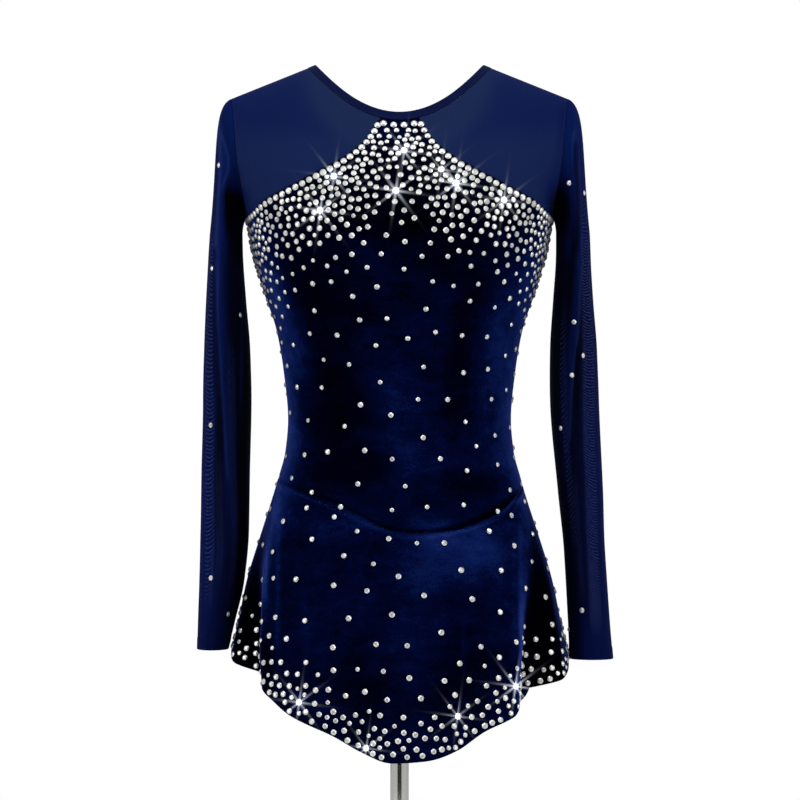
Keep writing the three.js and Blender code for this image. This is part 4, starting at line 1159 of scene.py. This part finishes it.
# each piece's grid, wall and flat size; extraRows are finer steps of v beside its edges
edgeRows = [0.0008, 0.002, 0.0035, 0.006, 0.009, 0.0125, 0.0165, 0.021]
bothEdges = edgeRows + [1 - k for k in edgeRows]
belowSeam = [1 - k for k in (0.0145, 0.0185, 0.0255, 0.0285, 0.0365, 0.040)]
cuffRows = [1 - k / 560 for k in (0.5, 1, 2, 6, 10.5, 11, 11.4, 11.8, 12.2, 12.6, 12.9, 13.2, 14)]
bodiceFrontCloth = {"columns": 210, "rows": 160, "thickness": velvetThickness, "flat": (0.45, 0.44),
                    "relief": seamEdges(0.33), "extraRows": bothEdges}
bodiceBackCloth = {"columns": 150, "rows": 110, "thickness": velvetThickness, "flat": (0.43, 0.34),
                   "relief": seamEdges(0.31), "extraRows": bothEdges}
yokeFrontCloth = {"columns": 90, "rows": 90, "thickness": netThickness, "flat": (0.18, 0.16),
                  "shade": yokeShade}
yokeBackCloth = {"columns": 150, "rows": 60, "thickness": netThickness, "flat": (0.42, 0.17),
                 "shade": yokeShade}
neckBandCloth = {"columns": 280, "rows": 5, "thickness": netThickness + neck["proud"], "proud": neck["proud"],
                 "flat": (0.59, 0.01), "shade": netFoldShading}
sleeveCloth = {"columns": 144, "rows": 190, "thickness": netThickness, "flat": (0.35, 0.59),
               "shade": netFoldShading, "relief": cuffHem, "extraRows": cuffRows}
skirtFrontCloth = {"columns": 260, "rows": 90, "thickness": velvetThickness, "flat": (0.57, 0.28),
                   "relief": skirtEdges, "extraRows": bothEdges + belowSeam}
skirtBackCloth = {**skirtFrontCloth, "columns": 240, "rows": 80}
briefsCloth = {"columns": 70, "rows": 24, "thickness": briefsThickness, "flat": (0.45, 0.13)}
gussetCloth = {"columns": 12, "rows": 48, "thickness": briefsThickness, "flat": (0.058, 0.24)}
skirtEnds = {"Front": (-89.9, 89.9), "Back": (90.1, 269.9)}


def dressPiece(name, node, surface, s, cloth, turn=1, closed=False):
    # builds a piece in its node's place; its area is measured on the surface
    material, slot = cloth
    made = clothPiece(name, surface, s, material, turn, closed)
    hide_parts(node)
    area = areaOf(surface)
    print(f"{name}: {area:.4f} square metres, {area / (s['flat'][0] * s['flat'][1]):.3f} of its flat box")


velvetCloth = (velvet, "velvet")
yokeNetCloth, bandNetCloth, rightNetCloth, leftNetCloth = [
    (material, "stretch_net") for material in (yokeNet, bandNet, rightNet, leftNet)
]
dressPiece("bodiceFront", "bodice_front", bodiceFrontFace, bodiceFrontCloth, velvetCloth)
dressPiece("bodiceBack", "bodice_back", bodiceBackFace, bodiceBackCloth, velvetCloth)
dressPiece("yokeFrontRight", "yoke_front_right", yokeFrontFace, yokeFrontCloth, yokeNetCloth)
dressPiece("yokeFrontLeft", "yoke_front_left", mirrored(yokeFrontFace), yokeFrontCloth, yokeNetCloth, turn=-1)
dressPiece("yokeBack", "yoke_back", yokeBackFace, yokeBackCloth, yokeNetCloth, turn=-1)
dressPiece("neckBinding", "neck_binding", neckBandFace, neckBandCloth, bandNetCloth, turn=-1, closed=True)
dressPiece("sleeveRight", "sleeve_right", sleeveFace("right"), sleeveCloth, rightNetCloth, turn=-1,
           closed=True)
dressPiece("sleeveLeft", "sleeve_left", sleeveFace("left"), sleeveCloth, leftNetCloth, closed=True)
dressPiece("skirtFront", "skirt_front", skirtFace(*skirtEnds["Front"]), skirtFrontCloth, velvetCloth)
dressPiece("skirtBack", "skirt_back", skirtFace(*skirtEnds["Back"]), skirtBackCloth, velvetCloth)
dressPiece("briefsFront", "briefs_front", briefsFace(-sideSeam, sideSeam), briefsCloth, velvetCloth)
dressPiece("briefsBack", "briefs_back", briefsFace(180 - sideSeam, 180 + sideSeam), briefsCloth, velvetCloth)
dressPiece("briefsGusset", "briefs_gusset", gussetFace, gussetCloth, velvetCloth, turn=-1)
print("cloth made")

# crystals
crystalShape = {"sides": 12, "height": 0.27, "table": 0.50, "girdle": 0.08, "crisp": 12, "spin": 6.28}


def crystalMaterial():
    # foil-backed glass: silvery white, a little different from stone to stone
    s = {"tones": [(0.0, (0.36, 0.37, 0.38)), (0.35, (0.52, 0.52, 0.50)), (1.0, (0.70, 0.70, 0.67))],
         "cells": 240.0, "metallic": 0.60, "roughness": 0.33}

    def build(nodes):
        cell = addNode(nodes, "ShaderNodeTexVoronoi", Vector=objectPlace(nodes), Scale=s["cells"])
        return dict(Base_Color=colorRamp(nodes, cell.outputs["Color"], s["tones"]), Metallic=s["metallic"],
                    Roughness=s["roughness"])

    return newMaterial("crystal", build)


crystal = crystalMaterial()


def normalsAt(surface, u, v, turn):
    # the cross product of small steps along u and v
    step = 2e-3
    low, high = np.clip(u - step, 0, 1), np.clip(u + step, 0, 1)
    along = surface(high, v) - surface(low, v)
    low, high = np.clip(v - step, 0, 1), np.clip(v + step, 0, 1)
    across = surface(u, high) - surface(u, low)
    normal = np.cross(along, across) * turn
    return normal / np.linalg.norm(normal, axis=1, keepdims=True)


def crystalMesh(name, points, normals, sizes, spin):
    # a girdle, a crown and a table of twelve sides on a flat back each; arrays by stone, ring and side
    n, c = crystalShape["sides"], crystalShape
    helper = np.where(np.abs(normals[:, 2:]) < 0.9, np.array([0, 0, 1.0]), np.array([1.0, 0, 0]))
    right = np.cross(helper, normals)
    right /= np.linalg.norm(right, axis=1, keepdims=True)
    up = np.cross(normals, right)
    radius = sizes / 2
    angle = 2 * np.pi * np.arange(n) / n
    rings = [(1.0, 0.0, 0.0), (1.0, c["girdle"], 0.0), (c["table"], c["height"], 0.5)]
    made = []
    for share, height, shift in rings:
        turned = angle[None] + spin[:, None] + shift * 2 * np.pi / n
        flat = np.cos(turned)[..., None] * right[:, None] + np.sin(turned)[..., None] * up[:, None]
        lifted = normals[:, None] * (height * sizes)[:, None, None]
        made.append(points[:, None] + flat * (radius * share)[:, None, None] + lifted)
    corners = np.stack(made, 1).reshape(len(points), 3 * n, 3)
    side = np.arange(n)
    after = (side + 1) % n
    girdle = np.concatenate([np.stack([side, after, after + n], 1), np.stack([side, after + n, side + n], 1)])
    crown = np.concatenate([np.stack([side + n, after + n, side + 2 * n], 1),
                            np.stack([after + n, after + 2 * n, side + 2 * n], 1)])
    fan = np.arange(1, n - 1)
    top = np.stack([np.full(n - 2, 2 * n), fan + 2 * n, fan + 1 + 2 * n], 1)
    back = np.stack([np.zeros(n - 2, int), fan + 1, fan], 1)
    faces = np.concatenate([girdle, crown, top, back])
    shifts = np.arange(len(points))[:, None, None] * 3 * n
    triangles = (faces[None] + shifts).reshape(-1, 3)
    stones = makeMesh(name, corners.reshape(-1, 3), triangles, crystal, crisp=c["crisp"])


class Stones:
    # the stones of one piece: where they are on its surface, and how wide each is
    def __init__(self, surface, seed):
        self.surface, self.rng = surface, np.random.default_rng(seed)
        self.u, self.v, self.size = np.zeros(0), np.zeros(0), np.zeros(0)

    def add(self, u, v, smallest, largest):
        self.u, self.v = np.append(self.u, u), np.append(self.v, v)
        self.size = np.append(self.size, self.rng.uniform(smallest, largest, len(u)))

    def row(self, vAt, spacing, start, end, smallest, largest, jitter=0.0):
        # equal steps of length along the line v = vAt(u)
        u = np.linspace(start, end, 1500)
        line = self.surface(u, vAt(u))
        length = np.concatenate([[0], np.cumsum(np.linalg.norm(np.diff(line, axis=0), axis=1))])
        count = max(int(round(length[-1] / spacing)), 1)
        steps = np.arange(count) + 0.5 + self.rng.uniform(-jitter, jitter, count)
        u = np.interp(steps * length[-1] / count, length, u)
        self.add(u, vAt(u), smallest, largest)

    def scatter(self, spacingAt, tries, smallest, largest):
        # dart throwing: a try stays if no stone lies nearer than the spacing there, or touches it
        u, v = self.rng.random((2, tries))
        points = self.surface(u, v)
        spacing = spacingAt(u, v, points)
        sizes = self.rng.uniform(smallest, largest, tries)
        places = np.full((len(self.u) + tries, 3), 9.0)
        places[: len(self.u)] = self.surface(self.u, self.v)
        widths = np.zeros(len(places))
        widths[: len(self.u)] = self.size
        used, kept = len(self.u), []
        for i in np.flatnonzero(np.isfinite(spacing)):
            away = np.linalg.norm(places[:used] - points[i], axis=1)
            if used and np.any(away < np.maximum(spacing[i], (widths[:used] + sizes[i]) / 2 + 0.0003)):
                continue
            places[used], widths[used] = points[i], sizes[i]
            used += 1
            kept.append(i)
        self.u, self.v = np.append(self.u, u[kept]), np.append(self.v, v[kept])
        self.size = np.append(self.size, sizes[kept])

    def build(self, name, turn, lift=0.0001):
        points = self.surface(self.u, self.v)
        normals = normalsAt(self.surface, self.u, self.v, turn)
        print(f"{name}: {len(points)} stones")
        spin = self.rng.random(len(points)) * crystalShape["spin"]
        crystalMesh(name, points + normals * lift, normals, self.size, spin)


def seenAt(surface, targets, us, vs):
    # the (u, v) that the camera sees at each (x, z) of the plane through the form's axis
    u, v = (k.ravel() for k in np.meshgrid(us, vs))
    points = surface(u, v)
    distance, height = cameraSettings["distance"], cameraSettings["height"]
    share = distance / (distance + points[:, 1])
    flat = np.stack([points[:, 0] * share, height + (points[:, 2] - height) * share], 1)
    targets = np.stack([targets["x"], targets["z"]], 1)
    nearest = [np.argmin(np.sum((flat - target) ** 2, axis=1)) for target in targets]
    return u[nearest], v[nearest]


def bodiceTopAt(angle):
    # the slanted edge, or the neck band where that is lower
    top = bodiceTop(np.abs(angle))
    return np.minimum(top, bandEdge(torso["half"](top) * np.sin(np.radians(angle)), -1))


# the least distance between two stones, in metres, by how far they lie below the top edge or above the hem
frontSteps = table("below step", [
    (0, 0.0057), (0.012, 0.0061), (0.035, 0.0070), (0.052, 0.0089), (0.070, 0.0128), (0.088, 0.0185),
    (0.115, 0.025), (0.14, 0.028),
])
backSteps = table("below step", [
    (0, 0.0066), (0.012, 0.0072), (0.03, 0.0095), (0.05, 0.015), (0.08, 0.027), (0.12, 0.036),
])
hemSteps = table("above step", [(0, 0.0069), (0.02, 0.0078), (0.045, 0.0118), (0.07, 0.0195), (0.10, 0.028)])


def frontSpacing(share, deepest):
    # the depth is shortened in the middle, where the point lengthens it, and at the sides
    def spacing(u, v, points):
        angle = mix(-sideSeam, sideSeam, u)
        middle = 1 - ease(12, 38, np.abs(angle))
        below = (bodiceTop(np.abs(angle)) - points[:, 2]) * 0.86 - 0.016 * middle
        stretch = mix(1.0, 1.3, ease(46, 82, np.abs(angle)))
        steps = np.interp(below / stretch, *frontSteps.values()) * share
        edge = (bodiceTopAt(angle) - points[:, 2] < 0.0085) | (v < 0.012) | (np.abs(angle) > 87.5)
        return np.where(edge | (below > deepest), np.inf, steps)

    return spacing


def vBelowTop(distance):
    # v of the line that lies a distance under the bodice's top edge
    def line(u):
        angle = mix(-sideSeam, sideSeam, u)
        bottom, top = waistSeam(angle), bodiceTopAt(angle)
        return (top - distance - bottom) / (top - bottom)

    return line


# stones that flash towards the camera, by where they are seen: x and z in metres
glints = table("x z", [
    (-0.0675, 0.9046), (-0.0819, 0.8696), (-0.0036, 0.8902), (0.0046, 0.9314), (0.0427, 0.9118),
    (0.0582, 0.8974), (0.1076, 0.8799),
])
hemGlints = table("x z", [(-0.1035, 0.3628), (-0.0345, 0.3155), (0.0603, 0.3484), (0.1200, 0.3793)])

pointShare = 0.5 * bodicePointAngle / sideSeam
frontStones = Stones(bodiceFrontFace, 3)
fine = np.linspace(0, 1, 900)
frontStones.add(*seenAt(bodiceFrontFace, glints, fine, fine), 0.0068, 0.0072)
frontStones.row(vBelowTop(0.0052), 0.0095, 0.5 - pointShare, 0.5 + pointShare, 0.0066, 0.0070)
for start, end in ((0.008, 0.5 - pointShare), (0.5 + pointShare, 0.992)):
    frontStones.row(vBelowTop(0.0040), 0.0080, start, end, 0.0062, 0.0069)
frontStones.scatter(frontSpacing(1.12, 0.06), 9000, 0.0053, 0.0061)
frontStones.scatter(frontSpacing(0.98, 1), 30000, 0.0043, 0.0057)
frontStones.build("crystalsBodiceFront", 1)


def backSpacing(share):
    def spacing(u, v, points):
        angle = mix(90, 270, u)
        below = backTop(np.where(angle <= 180, angle, 360 - angle)) - points[:, 2]
        reach = mix(0.5, 1.25, ease(62, 88, np.abs(angle - 180)))
        steps = np.interp(below / reach, *backSteps.values()) * share
        return np.where((below < 0.0085) | (v < 0.015) | (np.abs(angle - 180) > 87.5), np.inf, steps)

    return spacing


backStones = Stones(bodiceBackFace, 4)
backRow = 1 - 0.0045 / 0.31  # 4.5 mm under the top edge
backStones.row(lambda u: backRow + 0 * u, 0.0080, 0.008, 0.992, 0.0062, 0.0068)
backStones.scatter(backSpacing(1.12), 6000, 0.0058, 0.0066)
backStones.scatter(backSpacing(1.0), 12000, 0.0044, 0.0054)
backStones.build("crystalsBodiceBack", 1)


def hemSpacing(start, end, share):
    def spacing(u, v, points):
        angle = mix(start, end, u)
        above = points[:, 2] - hemLine(angle)
        thin = 1 + 0.10 * ease(58, 68, np.abs(angle)) * (1 - ease(95, 105, np.abs(angle)))
        steps = np.interp(above * thin, *hemSteps.values()) * share * thin
        return np.where((above < 0.0042) | (v > 0.97), np.inf, steps)

    return spacing


for panelName, seed in (("Front", 13), ("Back", 14)):
    start, end = skirtEnds[panelName]
    skirtStones = Stones(skirtFace(start, end), seed)
    if panelName == "Front":
        skirtStones.add(*seenAt(skirtStones.surface, hemGlints, fine, fine), 0.0066, 0.0070)
    skirtStones.scatter(hemSpacing(start, end, 1.1), 5000, 0.0053, 0.0060)
    skirtStones.scatter(hemSpacing(start, end, 1.0), 14000, 0.0042, 0.0050)
    skirtStones.build("crystalsSkirt" + panelName, 1)

# a few stones on each sleeve's front, by where they are seen, and on its back at (u, v)
sleeveStones = {
    "left": table("x z", [
        (-0.1859, 0.9159), (-0.1931, 0.8099), (-0.1643, 0.7614), (-0.1942, 0.6481), (-0.1942, 0.4905),
        (-0.1766, 0.4535),
    ]),
    "right": table("x z", [
        (0.1746, 0.8974), (0.1901, 0.8871), (0.1797, 0.7542), (0.1890, 0.7202), (0.1777, 0.6996),
        (0.1663, 0.6450), (0.1880, 0.4576), (0.1746, 0.4380),
    ]),
}
sleeveBack = table("u v", [
    (0.70, 0.15), (0.62, 0.30), (0.78, 0.42), (0.66, 0.58), (0.82, 0.70), (0.68, 0.86),
])
for side, turn in (("left", 1), ("right", -1)):
    stones = Stones(sleeveFace(side), 31 if side == "left" else 37)
    around, along = np.linspace(0.02, 0.49, 300), np.linspace(0.04, 0.98, 700)
    seen = seenAt(stones.surface, sleeveStones[side], around, along)
    stones.add(*seen, 0.0048, 0.0056)
    stones.add(sleeveBack["u"], sleeveBack["v"], 0.0046, 0.0054)
    stones.build("crystalsSleeve" + side.capitalize(), turn)


def glintLights(surface, places, share):
    # a tiny bright disc just before each flashing stone, for the star filter below
    s = {"radius": 0.0012, "power": 0.0034 * share, "ahead": 0.004, "color": (0.78, 0.84, 1.0)}
    points = surface(*seenAt(surface, places, fine, fine))
    for number, point in enumerate(points):
        data = bpy.data.lights.new("glint", "AREA")
        data.shape = "DISK"
        data.size = 2 * s["radius"]
        data.color = s["color"]
        data.energy = s["power"] * (0.75 + 0.25 * math.cos(number * 2.4))
        light = bpy.data.objects.new("glint", data)
        light.location = (point[0], point[1] - s["ahead"], point[2])
        light.rotation_euler = (math.pi / 2, 0, 0)
        scene.collection.objects.link(light)


glintLights(bodiceFrontFace, glints, 1.0)
glintLights(skirtFace(*skirtEnds["Front"]), hemGlints, 0.6)


def starFilter():
    # eight rays from whatever is far brighter than white
    s = {"threshold": 4.0, "streaks": 8, "turn": 37, "passes": 3, "fade": 0.875, "strength": 0.75}
    scene.use_nodes = True
    nodes = scene.node_tree.nodes
    nodes.clear()
    picture = addNode(nodes, "CompositorNodeRLayers").outputs["Image"]
    glare = addNode(nodes, "CompositorNodeGlare", glare_type="STREAKS", quality="HIGH", Image=picture,
                    Threshold=s["threshold"], Streaks=s["streaks"], Streaks_Angle=math.radians(s["turn"]),
                    Iterations=s["passes"], Fade=s["fade"], Color_Modulation=0.0, Strength=s["strength"])
    addNode(nodes, "CompositorNodeComposite", Image=glare.outputs["Image"])


starFilter()
print("crystals made")


# form, stand and floor

def formSkinMaterial():
    # matt white, a little uneven
    def build(nodes):
        tone = noise(nodes, objectPlace(nodes), 30.0, 4.0)
        return dict(Base_Color=colorRamp(nodes, tone, [(0.3, (0.80, 0.79, 0.77)), (0.7, (0.88, 0.87, 0.85))]),
                    Roughness=0.5)

    return newMaterial("formSkin", build)


def chromeMaterial():
    # mirror bright, with faint smudges in its roughness
    def build(nodes):
        smudge = noise(nodes, objectPlace(nodes), 40.0, 4.0)
        return dict(Roughness=ranged(nodes, smudge, 0.0, 1.0, 0.04, 0.08), Metallic=1.0,
                    Base_Color=(0.62, 0.62, 0.60, 1))

    return newMaterial("chrome", build)


formSkin, chrome = formSkinMaterial(), chromeMaterial()
for nodeName, finish in (("dress_form", formSkin), ("pole", chrome), ("base", chrome)):
    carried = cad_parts[nodeName].data.materials
    carried.clear()
    carried.append(finish)

floorReach = 3.0
floorMesh = bpy.data.meshes.new("floor")
floorCorners = [(x * floorReach, y * floorReach, 0) for x, y in ((-1, -1), (1, -1), (1, 1), (-1, 1))]
floorMesh.from_pydata(floorCorners, [], [(0, 1, 2, 3)])
floorTone = dict(Base_Color=(0.86, 0.86, 0.86, 1), Roughness=0.8)
floorMesh.materials.append(newMaterial("floorPaint", lambda nodes: floorTone))
floor = bpy.data.objects.new("floor", floorMesh)
scene.collection.objects.link(floor)
print("form, stand and floor made")

print("scene made")
